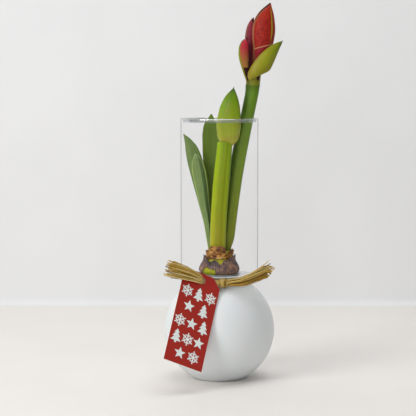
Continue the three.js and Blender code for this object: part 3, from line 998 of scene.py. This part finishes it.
LEAF_EDGE = [
    (0.0, "#e8f0c0"), (0.025, "#e8f0c0"), (0.06, "#ffffff"), (0.48, "#f4f4f4"), (0.5, "#e2e8d8"),
    (0.52, "#f4f4f4"), (0.94, "#ffffff"), (0.975, "#f2f8c8"), (1.0, "#f2f8c8"),
]


class BuildLeaves(bpy.types.Operator):
    """Grow the three leaves behind the front scape"""

    bl_idname = "amaryllis.leaves"
    bl_label = "Leaves"

    def execute(self, context):
        thick = context.scene.amaryllis_plant.leaf_thickness
        fade = stops((0, thick), (0.7, thick * 0.8), (1, thick * 0.35))
        tall = blade(
            "leaf_left_tall_blade", Sections("leaf_left_tall", 30), 90, 40, fade,
            stops((0, 2 * MM), (0.6, 3 * MM), (1, 0)),
        )
        green = plant_skin("tall_leaf_skin", [
            (0.0, "#8f9a28"), (0.2, "#6c8030"), (0.6, "#6a8246"), (1.0, "#70874c"),
        ], LEAF_EDGE, fibres=44.0, blotch="#3f6428", blotch_share=0.35)
        mounted(tall, "leaf_blade", "leaf_left_tall", materials=[green])

        # The short leaf is keeled: its left half faces the light and its right half turns away.
        short = blade(
            "leaf_left_short_blade", Sections("leaf_left_short", 26), 90, 44, fade,
            lambda t: 0.0,
            lambda s, t: (3.4 * MM * abs(s - 0.25) - 1.6 * MM) * math.sin(math.pi * min(1, t * 1.05)) ** 0.5,
        )
        # Painted light and shade on the keeled leaf: the across ramp darkens the right half as painted shade
        # and leaves both margins light as painted highlights; the along ramp lightens the rounded top as a
        # painted highlight.
        green = plant_skin("short_leaf_skin", [
            (0.0, "#b9c060"), (0.3, "#a9b868"), (0.94, "#a9b868"), (0.975, "#bccc84"),
            (1.0, "#c4d490"),
        ], [
            (0.0, "#ffffff"), (0.03, "#ffffff"), (0.07, "#b0bec8"), (0.6, "#aebcc6"),
            (0.66, "#8498a0"), (0.9, "#7c8f98"), (0.95, "#ffffff"), (1.0, "#ffffff"),
        ], fibres=40.0, blotch="#47692f", blotch_share=0.3)
        mounted(short, "leaf_blade", "leaf_left_short", materials=[green])

        middle = blade(
            "leaf_middle_blade", Sections("leaf_middle", 34), 90, 40, fade,
            stops((0, -2 * MM), (0.6, -3 * MM), (1, 0)),
        )
        green = plant_skin("middle_leaf_skin", [
            (0.0, "#74801c"), (0.25, "#5f7814"), (0.7, "#5f7620"), (1.0, "#627c28"),
        ], LEAF_EDGE, fibres=44.0, blotch="#5a6a1c", blotch_share=0.4)
        mounted(middle, "leaf_blade", "leaf_middle", materials=[green])
        return {"FINISHED"}


class BuildFrontScape(bpy.types.Operator):
    """Grow the front scape with its closed bud"""

    bl_idname = "amaryllis.front_scape"
    bl_label = "Front scape"

    def execute(self, context):
        scape = tube(
            "front_scape_stalk", Sections("front_scape", 10, ends=(2, 3)), 80, 96,
            lambda a, t: 1 + 0.012 * math.sin(a * 9 + 1.3) + 0.006 * math.sin(a * 23),
            span=(-0.01, 1.035),
        )
        # Painted light and shade round the stalk: the across ramp lightens the left side as a painted
        # highlight and darkens the middle of the front, the right side and the back as painted shade.
        skin_and_painted_shade = plant_skin("front_scape_skin", [
            (0.0, "#b0a020"), (0.08, "#aaa81c"), (0.4, "#9fae10"), (1.0, "#8fb010"),
        ], [
            (0.0, "#c8d0b0"), (0.25, "#eef0d0"), (0.31, "#ffffdc"), (0.4, "#f0f0c0"),
            (0.47, "#d2cf78"), (0.56, "#d0d078"), (0.62, "#f0f4c8"), (0.7, "#dcecb8"),
            (0.75, "#c8dc9c"), (1.0, "#c8d0b0"),
        ], fibres=120.0, blotch="#a59a28", blotch_share=0.2)
        mounted(scape, "front_scape_skin", "front_scape", materials=[skin_and_painted_shade])
        self.bud()
        return {"FINISHED"}

    def bud(self):
        """Two spathe bracts close the bud; the right one's edge laps over the left one."""
        both = BudSections("front_bract_left", "front_bract_right", count=18)
        # The base is rounded: its lowest cuts follow a quarter of an ellipse.
        for row in range(4):
            drop = (4 - row) / 4
            both.middles[row] = both.middles[4] - (both.middles[6] - both.middles[4]) * drop
            both.halves[row] = both.halves[4] * math.sqrt(1 - (drop * 0.9) ** 2)
        tones = [
            (0.0, "#b3a93c"), (0.1, "#a3a83a"), (0.28, "#98a832"), (0.42, "#8ba01a"),
            (0.62, "#7a9c08"), (0.85, "#5f880a"), (0.95, "#3c6410"), (1.0, "#2a4a10"),
        ]
        green = plant_skin("spathe_skin", tones, [
            (0.0, "#f4ecc0"), (0.06, "#e8e8c0"), (0.3, "#ffffff"), (0.7, "#ffffff"),
            (0.96, "#e8e4b0"), (1.0, "#d8c890"),
        ], fibres=34.0, blotch="#9a7440", blotch_share=0.32, bump_mm=0.25)
        for side, name, node, layer in (
            (-1, "front_bract_left_skin", "front_bract_left", -0.9),
            (1, "front_bract_right_skin", "front_bract_right", -0.35),
        ):
            reach = 92 if side < 0 else 97
            piece = petal(name, both, 0.0, 1.0, -14 + side * 88, lambda t: reach,
                          gap=layer - 1.0, thickness=1.0, rows=72, cols=60)
            mounted(piece, "spathe_bract", node, materials=[green])


class BudSections(Sections):
    """Level cuts through two nodes that lie round the same bud."""

    def __init__(self, first, second, count):
        super().__init__(first, count)
        other = Sections(second, count)
        low = np.minimum(self.middles - self.halves, other.middles - other.halves)
        high = np.maximum(self.middles + self.halves, other.middles + other.halves)
        self.middles, self.halves = (low + high) / 2, (high - low) / 2


class BuildBackScape(bpy.types.Operator):
    """Grow the back scape with its widened head"""

    bl_idname = "amaryllis.back_scape"
    bl_label = "Back scape"

    def execute(self, context):
        scape = tube(
            "back_scape_stalk", Sections("back_scape", 18, ends=(2, 3)), 110, 96,
            lambda a, t: 1 + 0.01 * math.sin(a * 8) + 0.05 * math.exp(-((t - 0.972) / 0.006) ** 2)
            + 0.24 * max(0, -math.cos(a)) * math.exp(-((t - 0.58) / 0.14) ** 2),
            span=(-0.005, 1.04),
        )
        # Painted shade round the stalk: the across ramp darkens a strip on the left and the back as painted
        # shade, and leaves the front light.
        skin_and_painted_shade = plant_skin("back_scape_skin", [
            (0.0, "#85881c"), (0.3, "#7f9226"), (0.7, "#74922e"), (0.9, "#648a18"),
            (0.934, "#566f12"), (0.944, "#84841a"), (1.0, "#8f8c20"),
        ], [
            (0.0, "#a8b890"), (0.24, "#b0b870"), (0.36, "#9ca452"), (0.43, "#c4cc84"),
            (0.47, "#f6f8f0"), (0.6, "#ffffff"), (0.72, "#f0f8e8"), (1.0, "#a8b890"),
        ], fibres=120.0, blotch="#5c7a2c", blotch_share=0.3)
        mounted(scape, "back_scape_skin", "back_scape", materials=[skin_and_painted_shade])
        return {"FINISHED"}


# ---- Flower head ----


def pointed(width, base=0.45):
    """The half width of a tepal in degrees: a claw below and a point above."""
    return stops((0, width * base), (0.15, width * 0.8), (0.4, width), (0.72, width * 0.98),
                 (0.9, width * 0.72), (1, width * 0.1))


class BuildFlowerHead(bpy.types.Operator):
    """Grow the opening buds with their tepals and the two spathe bracts"""

    bl_idname = "amaryllis.flower_head"
    bl_label = "Flower head"

    def execute(self, context):
        main, middle, small = (Sections(n, 14) for n in ("main_bud", "middle_bud", "small_bud"))
        # The inner buds are coloured near black as painted shade in the gaps between the tepals.
        crimson = tepal_skin("inner_tepal_painted_shade", "#3c0a10", "#1c0408", "#4a1018", "#3a0c10")
        for name, node, sections in (
            ("main_bud_inner", "main_bud", main),
            ("middle_bud_inner", "middle_bud", middle),
            ("small_bud_inner", "small_bud", small),
        ):
            inner = tube(name, sections, 60, 64, lambda a, t: 1 + 0.03 * math.sin(3 * a + 5 * t))
            mounted(inner, "tepal", node, materials=[crimson])
        self.main_tepals(main)
        self.side_tepals(middle, small)
        self.bracts(small)
        return {"FINISHED"}

    def main_tepals(self, main):
        red = tepal_skin("front_tepal_skin", "#a82c14", "#84060f", "#94703e", "#979618",
                         margin_width=0.06, low_share=0.72)
        front = petal("main_bud_front_petal", main, 0.12, 0.99, 43, pointed(112), 0.8, 1.1,
                      wave=0.5, rib=0.5, rows=90, cols=110)
        mounted(front, "tepal", "main_bud_front_tepal", materials=[red])
        back = petal("main_bud_back_petal", main, 0.12, 0.98, 223, pointed(62), 0.7, 1.1,
                     wave=0.4, rows=70, cols=60)
        mounted(back, "tepal", "main_bud_back_tepal", materials=[red])
        # The lower tepal's edge slants up to the right, where the bract hides it.
        deep = tepal_skin("lower_tepal_skin", "#86101c", "#5c0611", "#a07a52", "#7c0e1c",
                          margin_width=0.04)
        low = petal("main_bud_lower_petal", main, 0.1, 0.47, 6, lambda t: 46 + 20 * t, 2.0, 1.0,
                    wave=0.4, crown=lambda s: 0.93 + 0.1 * s, rows=60, cols=60)
        lip = plant_skin("tepal_lip", [(0.0, "#9c6a44"), (1.0, "#ab8258")], fibres=20.0,
                         blotch="#9a3a2c")
        mounted(low, "tepal", "main_bud_lower_tepal", materials=[deep, lip])
        for face in low.data.polygons:
            if max(low.data.uv_layers[0].data[i].uv.y for i in face.loop_indices) > 0.97:
                face.material_index = 1

    def side_tepals(self, middle, small):
        plum = tepal_skin("middle_tepal_skin", "#85243a", "#5a0812", "#94603a", "#6c6c24",
                          margin_width=0.1)
        outer = petal("middle_bud_petal", middle, 0.12, 0.985, -50, pointed(84), 0.8, 1.0,
                      wave=0.3, rib=0.3, rows=60, cols=60)
        mounted(outer, "tepal", "middle_bud_outer_tepal", materials=[plum])
        pink = tepal_skin("small_tepal_skin", "#ab2634", "#84862a", "#a0503a", "#a03c38",
                          margin_width=0.1, low_share=0.24)
        outer = petal("small_bud_petal", small, 0.3, 0.97, -12, pointed(70, 0.7), 0.7, 0.9,
                      wave=0.3, rib=0.3, rows=60, cols=50)
        mounted(outer, "tepal", "small_bud_outer_tepal", materials=[pink])

    def bracts(self, small):
        """The left bract cups the small bud; the right one folds over the front of the head."""
        olive = plant_skin("open_spathe_skin", [
            (0.0, "#8f8420"), (0.25, "#979420"), (0.6, "#8f9810"), (0.85, "#7c8c10"),
            (0.95, "#4f6c14"), (1.0, "#2f4f14"),
        ], [
            (0.0, "#f0dc98"), (0.05, "#e8dca0"), (0.14, "#f4f0d0"), (0.5, "#ffffff"),
            (0.86, "#e8ecc8"), (0.95, "#d8d8a0"), (1.0, "#e8d8a0"),
        ], fibres=26.0, blotch="#8a6a24", blotch_share=0.35, bump_mm=0.25)
        left = petal("spathe_bract_left_skin", small, -0.06, 0.95, -112, pointed(70, 0.9), 1.0,
                     1.2, wave=0.4, rows=60, cols=50)
        mounted(left, "spathe_bract", "spathe_bract_left", materials=[olive])
        low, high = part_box("spathe_bract_right")

        def edge(*pairs):
            """A smooth edge through (x share, z share, y in millimetres) of the node's box."""
            table = [Vector((low.x + (high.x - low.x) * x, y * MM, low.z + (high.z - low.z) * z))
                     for x, z, y in pairs]
            return lambda t: flowing_at(table, t)

        upper = edge((0.01, 0.2, -3), (0.03, 0.31, -6), (0.2, 0.54, -8.5), (0.43, 0.75, -9.5),
                     (0.72, 0.92, -8), (0.99, 1.0, -4))
        lower = edge((0.06, 0.1, -4.5), (0.28, 0.2, -8.5), (0.44, 0.26, -7.5),
                     (0.62, 0.34, -3.5), (0.73, 0.5, -3), (0.86, 0.75, -4), (0.99, 0.99, -4))
        right = between(
            "spathe_bract_right_skin", upper, lower,
            stops((0, 1 * MM), (0.25, 3.5 * MM), (0.6, 4.5 * MM), (1, 0)), 1.3 * MM, 80, 44,
        )
        mounted(right, "spathe_bract", "spathe_bract_right", materials=[olive])


# ---- Raffia tie ----


class TagFrame:
    """The gift tag's hole, directions and size, read from its CAD node."""

    def __init__(self):
        corners = triangles("gift_tag").reshape(-1, 3)
        corners = np.unique(np.round(corners, 7), axis=0)
        middle = corners.mean(0)
        across, up = np.linalg.svd(triangles("gift_tag").reshape(-1, 3) - middle)[2][[1, 0]]
        up = up if up[2] > 0 else -up
        extreme = corners[np.argsort(corners @ up)[:4]]
        edge = extreme[np.argmax(extreme @ np.array([1.0, 0, 0]))] - extreme[np.argmin(extreme[:, 0])]
        across = edge / np.linalg.norm(edge)
        up = up - across * (up @ across)
        up /= np.linalg.norm(up)
        front = np.cross(across, up)
        x, y, z = corners @ across, corners @ up, corners @ front
        centre = (x.max() + x.min()) / 2
        width = x.max() - x.min()
        rim = np.abs(x - centre) < width * 0.15
        hole_y = (y[rim].max() + y[rim].min()) / 2
        self.across, self.up, self.front = (Vector(v) for v in (across, up, front))
        self.hole = self.across * centre + self.up * hole_y + self.front * ((z.max() + z.min()) / 2)
        self.hole_radius = (y[rim].max() - y[rim].min()) / 2
        self.half_width = width / 2
        self.top = y.max() - hole_y
        self.bottom = y.min() - hole_y
        self.clip = self.half_width - np.abs(x[y > y.max() - 0.1 * MM] - centre).max()
        self.thickness = z.max() - z.min()

    def place(self, x, y, out=0.0):
        return self.hole + self.across * x + self.up * y + self.front * out


def bundle(route, half_width, half_depth, count, seed, fray, lift=Vector((0, 0, 1)), steps=26):
    """Strands that follow a route and spread with it; fray is how far their ends stray."""
    rng = np.random.default_rng(seed)
    paths, tilts = [], []
    for _ in range(count):
        radius, angle = math.sqrt(rng.uniform(0.02, 1)), rng.uniform(0, 2 * math.pi)
        a0, b0 = radius * math.cos(angle), radius * math.sin(angle)
        twist, length = rng.normal(0, 0.35), 1 - fray * rng.uniform(0, 0.16)
        wave, phase = rng.uniform(0.03, 0.12), rng.uniform(0, 6.28)
        line = flowing(route, steps)
        path = []
        for i, point in enumerate(line):
            t = i / (steps - 1)
            if t > length:
                break
            ahead = line[min(i + 1, steps - 1)] - line[max(i - 1, 0)]
            side = ahead.cross(lift).normalized()
            high = side.cross(ahead).normalized()
            a = a0 * math.cos(twist * t) - b0 * math.sin(twist * t) + wave * math.sin(phase + 7 * t)
            b = a0 * math.sin(twist * t) + b0 * math.cos(twist * t)
            path.append(point + high * (a * half_width(t)) + side * (b * half_depth(t)))
        paths.append(path)
        start, turn = rng.uniform(0, 3.14), rng.normal(0, 1.2)
        tilts.append(lambda t, start=start, turn=turn: start + turn * t)
    return paths, tilts


class BuildTie(bpy.types.Operator):
    """Tie the raffia round the neck, with its knot and its two frayed tails"""

    bl_idname = "amaryllis.tie"
    bl_label = "Raffia tie"

    def execute(self, context):
        settings = context.scene.amaryllis_tie
        self.width, self.seed, self.count = settings.strand, settings.seed, settings.strands
        self.tree = strand_tree(raffia_fibre())
        low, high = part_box("raffia_knot")
        self.knot = (low + high) / 2
        self.knot_half = (high - low) / 2
        self.ring()
        self.knot_loops()
        self.right_tail()
        self.left_tail()
        return {"FINISHED"}

    def strands(self, name, node, paths, tilts, width=1.0):
        piece = grown(name, paths_object(paths, tilts), self.tree, Width=self.width * width,
                      Thickness=RAFFIA_THICKNESS, Seed=self.seed)
        mounted(piece, "raffia", node)

    def ring(self):
        """A rope of strands that winds round the neck's groove."""
        low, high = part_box("raffia_ring")
        thick = (high.z - low.z) / 2
        radius, height = high.x - thick, (low.z + high.z) / 2
        rng = np.random.default_rng(self.seed)
        paths, tilts = [], []
        for _ in range(26):
            out, start = thick * rng.uniform(0.3, 0.88), rng.uniform(0, 6.28)
            turns = rng.uniform(2, 5)
            path = []
            for a in np.linspace(0, 2 * math.pi, 97):
                roll = start + turns * a
                r = radius + out * math.cos(roll)
                path.append((r * math.cos(a), r * math.sin(a), height + out * math.sin(roll)))
            paths.append(path)
            tilts.append(lambda t, start=start: start)
        self.strands("raffia_neck_ring", "raffia_ring", paths, tilts)

    def knot_loops(self):
        """Loops wound round the bundle, some of them leaning across the others."""
        rng = np.random.default_rng(self.seed + 1)
        paths, tilts = [], []
        for _ in range(34):
            place = rng.uniform(-0.8, 0.8)
            fat = math.sqrt(1 - 0.55 * place * place) * rng.uniform(0.72, 0.93)
            lean = rng.normal(0, 0.22)
            path = []
            for a in np.linspace(0, 2 * math.pi, 33):
                x = place * self.knot_half.x + lean * self.knot_half.x * math.cos(a)
                path.append(self.knot + Vector((
                    x, self.knot_half.y * fat * math.sin(a), self.knot_half.z * fat * math.cos(a))))
            paths.append(path)
            tilts.append(lambda t: 1.57)
        self.strands("raffia_knot_loops", "raffia_knot", paths, tilts, 0.9)

    def right_tail(self):
        sections = Sections("raffia_tail_right", count=9, axis=0)
        route = [self.knot] + [sections.at(t)[0] for t in (0.08, 0.3, 0.5, 0.7, 0.86, 0.97)]
        paths, tilts = bundle(
            route, stops((0, 4 * MM), (0.2, 5 * MM), (0.5, 7 * MM), (1, 9 * MM)),
            stops((0, 3 * MM), (0.5, 3.6 * MM), (1, 4.6 * MM)), self.count, self.seed + 2, 1.0,
        )
        end = route[-1]
        # Loose strands stray above the bundle and fan out.
        for n in range(9):
            rise, back = 5 + 15 * (n / 8) ** 1.3, 1.5 + 5 * ((n * 5) % 9) / 8
            tip = end + Vector((-back * MM, (n % 3 - 1) * 2 * MM, rise * MM))
            bend = route[3] + Vector((0, (n % 3 - 1) * MM, (1 + 0.32 * rise) * MM))
            paths.append(flowing([route[1], bend, (bend + tip) / 2 - Vector((0, 0, MM)), tip], 20))
            tilts.append(lambda t, n=n: 0.4 * n)
        self.strands("raffia_right_tail", "raffia_tail_right", paths, tilts)

    def left_tail(self):
        """The left tail runs behind the tag, out through its hole and over its corner."""
        tag = TagFrame()
        low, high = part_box("raffia_tail_left")
        end = Vector((low.x + 4.5 * MM, low.y + 5 * MM, high.z - 12 * MM))
        route = [
            self.knot, tag.place(8 * MM, 2 * MM, -7 * MM), tag.place(3 * MM, 0, -4 * MM), tag.hole,
            tag.place(-5 * MM, 0, 3.5 * MM), tag.place(-15 * MM, 0, 5.5 * MM),
            tag.place(-26 * MM, -1 * MM, 7 * MM),
        ]
        route += [route[-1].lerp(end, 0.5), end]
        paths, tilts = bundle(
            route,
            stops((0, 3.5 * MM), (0.22, 3 * MM), (0.34, 4 * MM), (0.42, 5.2 * MM),
                  (0.55, 7 * MM), (0.75, 9.5 * MM), (1, 12.5 * MM)),
            stops((0, 3 * MM), (0.25, 2.5 * MM), (0.38, 2.2 * MM), (0.6, 3 * MM), (1, 4.4 * MM)),
            self.count + 16, self.seed + 3, 0.8, steps=40,
        )
        self.strands("raffia_left_tail", "raffia_tail_left", paths, tilts)


# ---- Gift tag ----


def flat_shape(name, outline, thickness):
    """A flat closed solid from an (x, y) outline, lying in the XY plane."""
    count = len(outline)
    verts = [(x, y, z) for z in (-thickness / 2, thickness / 2) for x, y in outline]
    faces = [list(range(count))[::-1], list(range(count, 2 * count))]
    faces += [[i, (i + 1) % count, count + (i + 1) % count, count + i] for i in range(count)]
    piece = new_piece(name, verts, faces)
    piece.data.shade_flat()
    return piece


def star_outline(points, outer, inner):
    turns = [math.pi / 2 + math.pi * i / points for i in range(2 * points)]
    return [((inner if i % 2 else outer) * math.cos(a), (inner if i % 2 else outer) * math.sin(a))
            for i, a in enumerate(turns)]


def fir_outline():
    """A small fir tree, one unit tall, made of three tiers on a trunk."""
    side = [(0, 0.5), (0.2, 0.22), (0.1, 0.22), (0.3, -0.06), (0.15, -0.06), (0.4, -0.36),
            (0.08, -0.36), (0.08, -0.5)]
    return [(-x, y) for x, y in side] + [(x, y) for x, y in side[::-1] if x > 0]


def snowflake_outline():
    """A six-armed snowflake, one unit across, each arm with a pair of barbs."""
    arm = [(0.045, 0.1), (0.045, 0.2), (0.17, 0.3), (0.14, 0.37), (0.045, 0.3), (0.045, 0.5)]
    outline = []
    for n in range(6):
        turn = n * math.pi / 3
        for x, y in [(-x, y) for x, y in arm] + arm[::-1]:
            outline.append((x * math.cos(turn) + y * math.sin(turn),
                            -x * math.sin(turn) + y * math.cos(turn)))
    return outline


class BuildTag(bpy.types.Operator):
    """Cut the gift tag and print its winter motifs"""

    bl_idname = "amaryllis.tag"
    bl_label = "Gift tag"

    def execute(self, context):
        settings = context.scene.amaryllis_tag
        tag = TagFrame()
        mounted(self.card(tag), "printed_card", "gift_tag", materials=[
            card_stock("printed_card", settings.card),
            card_stock("card_core", colour("#e9e6df")),
        ])
        self.print_motifs(tag, card_stock("white_ink", settings.ink, roughness=0.42))
        return {"FINISHED"}

    def card(self, tag):
        """The card with its clipped corners and its hole, cut as rings from hole to edge."""
        side, clip = tag.half_width, tag.clip
        corners = [
            (side, tag.bottom), (side, tag.top - clip), (side - clip, tag.top),
            (clip - side, tag.top), (-side, tag.top - clip), (-side, tag.bottom),
        ]
        count = 96
        hole = [(tag.hole_radius * math.cos(a), tag.hole_radius * math.sin(a))
                for a in np.linspace(-math.pi / 2, 1.5 * math.pi, count, endpoint=False)]
        edge = self.edge_points(corners, hole)
        face, back = tag.thickness / 2, -tag.thickness / 2
        rings = [(hole, back), (hole, face), (self.drawn_in(edge), face), (edge, face * 0.5),
                 (edge, back * 0.5), (self.drawn_in(edge), back)]
        verts = [tag.place(x, y, out) for ring, out in rings for x, y in ring]
        faces, cores = [], []
        for r in range(len(rings)):
            for j in range(count):
                k, s = (j + 1) % count, (r + 1) % len(rings)
                faces.append([r * count + j, r * count + k, s * count + k, s * count + j])
                cores.append(r in (0, 2, 3, 4))
        piece = new_piece("gift_tag_card", verts, faces)
        piece.data.shade_flat()
        for polygon, core in zip(piece.data.polygons, cores):
            polygon.material_index = int(core)
        return piece

    @staticmethod
    def drawn_in(edge, by=0.25 * MM):
        return [(x - math.copysign(by, x), y - math.copysign(by, y)) for x, y in edge]

    @staticmethod
    def edge_points(corners, hole):
        """For each point of the hole, the place on the outline that it looks at."""
        points, count = [], len(hole)
        for hx, hy in hole:
            best = None
            for (ax, ay), (bx, by) in zip(corners, corners[1:] + corners[:1]):
                det = hx * (ay - by) - hy * (ax - bx)
                if abs(det) < 1e-15:
                    continue
                s = (hx * ay - hy * ax) / (hx * (ay - by) - hy * (ax - bx))
                x, y = ax + s * (bx - ax), ay + s * (by - ay)
                if -1e-9 <= s <= 1 + 1e-9 and x * hx + y * hy > 0:
                    best = (x, y)
            points.append(best)
        for corner in corners:
            near = min(range(count), key=lambda i: math.dist(points[i], corner))
            points[near] = corner
        return points

    def print_motifs(self, tag, ink):
        """Five staggered rows of motifs, printed on the front of the card."""
        rows = (("SFS", 20, -17, 18), ("TF", 40, -10, 12), ("STF", 62, -18, 17),
                ("FST", 84, -18, 15), ("TS", 105, -8, 12))
        spots = {"S": [], "F": [], "T": []}
        for kinds, below, left, right in rows:
            for kind, x in zip(kinds, np.linspace(left, right, len(kinds))):
                spots[kind].append(tag.place(x * MM, -below * MM, tag.thickness / 2))
        shapes = {
            "S": snowflake_outline(), "F": fir_outline(), "T": star_outline(5, 0.5, 0.22),
        }
        sizes = {"S": 17.5 * MM, "F": 19 * MM, "T": 17 * MM}
        names = {"S": "tag_snowflakes", "F": "tag_fir_trees", "T": "tag_stars"}
        tree = self.motif_tree(ink)
        for kind, places in spots.items():
            motif = flat_shape("motif", shapes[kind], INK_THICKNESS / sizes[kind])
            mesh = bpy.data.meshes.new("spots")
            mesh.from_pydata(places, [], [])
            source = bpy.data.objects.new("spots", mesh)
            bpy.context.collection.objects.link(source)
            turn = Vector(basis_euler(tag.across, tag.up, tag.front))
            piece = grown(names[kind], source, tree, Motif=motif, Size=sizes[kind], Turn=turn)
            bpy.data.objects.remove(motif)
            piece.data.materials.clear()
            mounted(piece, "printed_card", materials=[ink])

    @staticmethod
    def motif_tree(ink):
        tree, source = new_tree(
            "printed_motifs",
            Motif=("NodeSocketObject", None),
            Size=("NodeSocketFloat", 10 * MM),
            Turn=("NodeSocketVector", None),
        )
        motif = add_node(tree, "GeometryNodeObjectInfo", {"Object": source.outputs["Motif"]})
        turn = add_node(tree, "FunctionNodeEulerToRotation", {"Euler": source.outputs["Turn"]})
        points = add_node(tree, "GeometryNodeMeshToPoints", {"Mesh": source.outputs["Geometry"]})
        placed = add_node(tree, "GeometryNodeInstanceOnPoints", {
            "Points": points.outputs["Points"], "Instance": motif.outputs["Geometry"],
            "Rotation": turn.outputs["Rotation"], "Scale": source.outputs["Size"],
        })
        close_tree(tree, placed.outputs["Instances"], ink)
        return tree


def basis_euler(across, up, front):
    """The XYZ rotation that takes the world's axes to these three directions."""
    return Matrix((across, up, front)).transposed().to_euler("XYZ")


# ---- Stage ----


class BuildStage(bpy.types.Operator):
    """Set the camera, the soft studio light, and the plain floor and wall"""

    bl_idname = "amaryllis.stage"
    bl_label = "Stage"

    def execute(self, context):
        scene = context.scene
        scene.view_settings.view_transform = "Standard"
        self.camera(scene)
        self.lights(scene)
        self.floor()
        return {"FINISHED"}

    def camera(self, scene):
        data = bpy.data.cameras.new("camera")
        data.sensor_width = 36
        data.lens = 127.64
        data.clip_end = 20
        camera = bpy.data.objects.new("camera", data)
        camera.location = (-0.0155, -2.0, 0.4006)
        camera.rotation_euler = (math.radians(90 - 4.795), 0, 0)
        scene.collection.objects.link(camera)
        scene.camera = camera

    def lights(self, scene):
        world = bpy.data.worlds.new("studio")
        scene.world = world
        world.use_nodes = True
        back = world.node_tree.nodes["Background"]
        back.inputs["Color"].default_value = colour("#f6f7f8")
        back.inputs["Strength"].default_value = 0.32
        for name, place, aim, size, power in (
            ("key", (-1.5, -1.4, 1.1), (0, 0, 0.2), 1.0, 25),
            ("front_fill", (-0.4, -2.4, 0.7), (0, 0, 0.15), 0.6, 6),
            ("wall_wash", (0.15, -0.1, 2.3), (0.1, 0.64, 0.3), 1.6, 19),
        ):
            data = bpy.data.lights.new(name, "AREA")
            data.size = size
            data.energy = power
            light = bpy.data.objects.new(name, data)
            light.location = place
            light.rotation_euler = (Vector(aim) - Vector(place)).to_track_quat("-Z", "Y").to_euler()
            scene.collection.objects.link(light)

    def floor(self):
        """A floor, and a wall 0.66 m behind the vase that meets it in a small cove."""
        wall_y, cove = 0.66, 0.012
        bend = [(wall_y - cove + cove * math.sin(a), cove - cove * math.cos(a))
                for a in np.linspace(0, math.pi / 2, 7)]
        for name, line, material in (
            ("studio_floor", [(-3.2, 0.0), (wall_y - cove, 0.0)],
             plaster("painted_floor", colour("#ece9e4"))),
            ("studio_floor_behind", [(wall_y, 0.0), (3.2, 0.0)],
             plaster("painted_floor_behind", colour("#ece9e4"))),
            ("studio_wall", bend + [(wall_y, 2.6)], plaster("painted_wall", colour("#e9e9ea"))),
        ):
            verts = [(x, y, z) for y, z in line for x in (-3.0, 3.0)]
            faces = [[2 * i, 2 * i + 1, 2 * i + 3, 2 * i + 2] for i in range(len(line) - 1)]
            mesh = bpy.data.meshes.new(name)
            mesh.from_pydata(verts, [], faces)
            surface = bpy.data.objects.new(name, mesh)
            bpy.context.collection.objects.link(surface)
            surface.data.materials.append(material)


# ---- Add-on ----


class AmaryllisPanel(bpy.types.Panel):
    """Lists the pieces of the amaryllis and the sizes that change them"""

    bl_idname = "VIEW3D_PT_amaryllis"
    bl_label = "Amaryllis"
    bl_space_type = "VIEW_3D"
    bl_region_type = "UI"
    bl_category = "Amaryllis"

    def draw(self, context):
        layout = self.layout
        for operator in OPERATORS:
            layout.operator(operator.bl_idname)
        for group in SETTINGS:
            settings = getattr(context.scene, group)
            box = layout.box()
            for key in SETTINGS[group].__annotations__:
                box.prop(settings, key)


SETTINGS = {
    "amaryllis_vase": VaseSettings,
    "amaryllis_plant": PlantSettings,
    "amaryllis_tie": TieSettings,
    "amaryllis_tag": TagSettings,
}
OPERATORS = (
    BuildStage, BuildVase, BuildBulb, BuildRoots, BuildLeaves, BuildFrontScape, BuildBackScape,
    BuildFlowerHead, BuildTie, BuildTag,
)


def register():
    for made in (*SETTINGS.values(), *OPERATORS, AmaryllisPanel):
        bpy.utils.register_class(made)
    for key, group in SETTINGS.items():
        setattr(bpy.types.Scene, key, bpy.props.PointerProperty(type=group))


def unregister():
    for key in SETTINGS:
        delattr(bpy.types.Scene, key)
    for made in (AmaryllisPanel, *OPERATORS[::-1], *SETTINGS.values()):
        bpy.utils.unregister_class(made)


def main():
    register()
    for operator in OPERATORS:
        group, name = operator.bl_idname.split(".")
        getattr(getattr(bpy.ops, group), name)()
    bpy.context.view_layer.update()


if __name__ == "__main__":
    main()
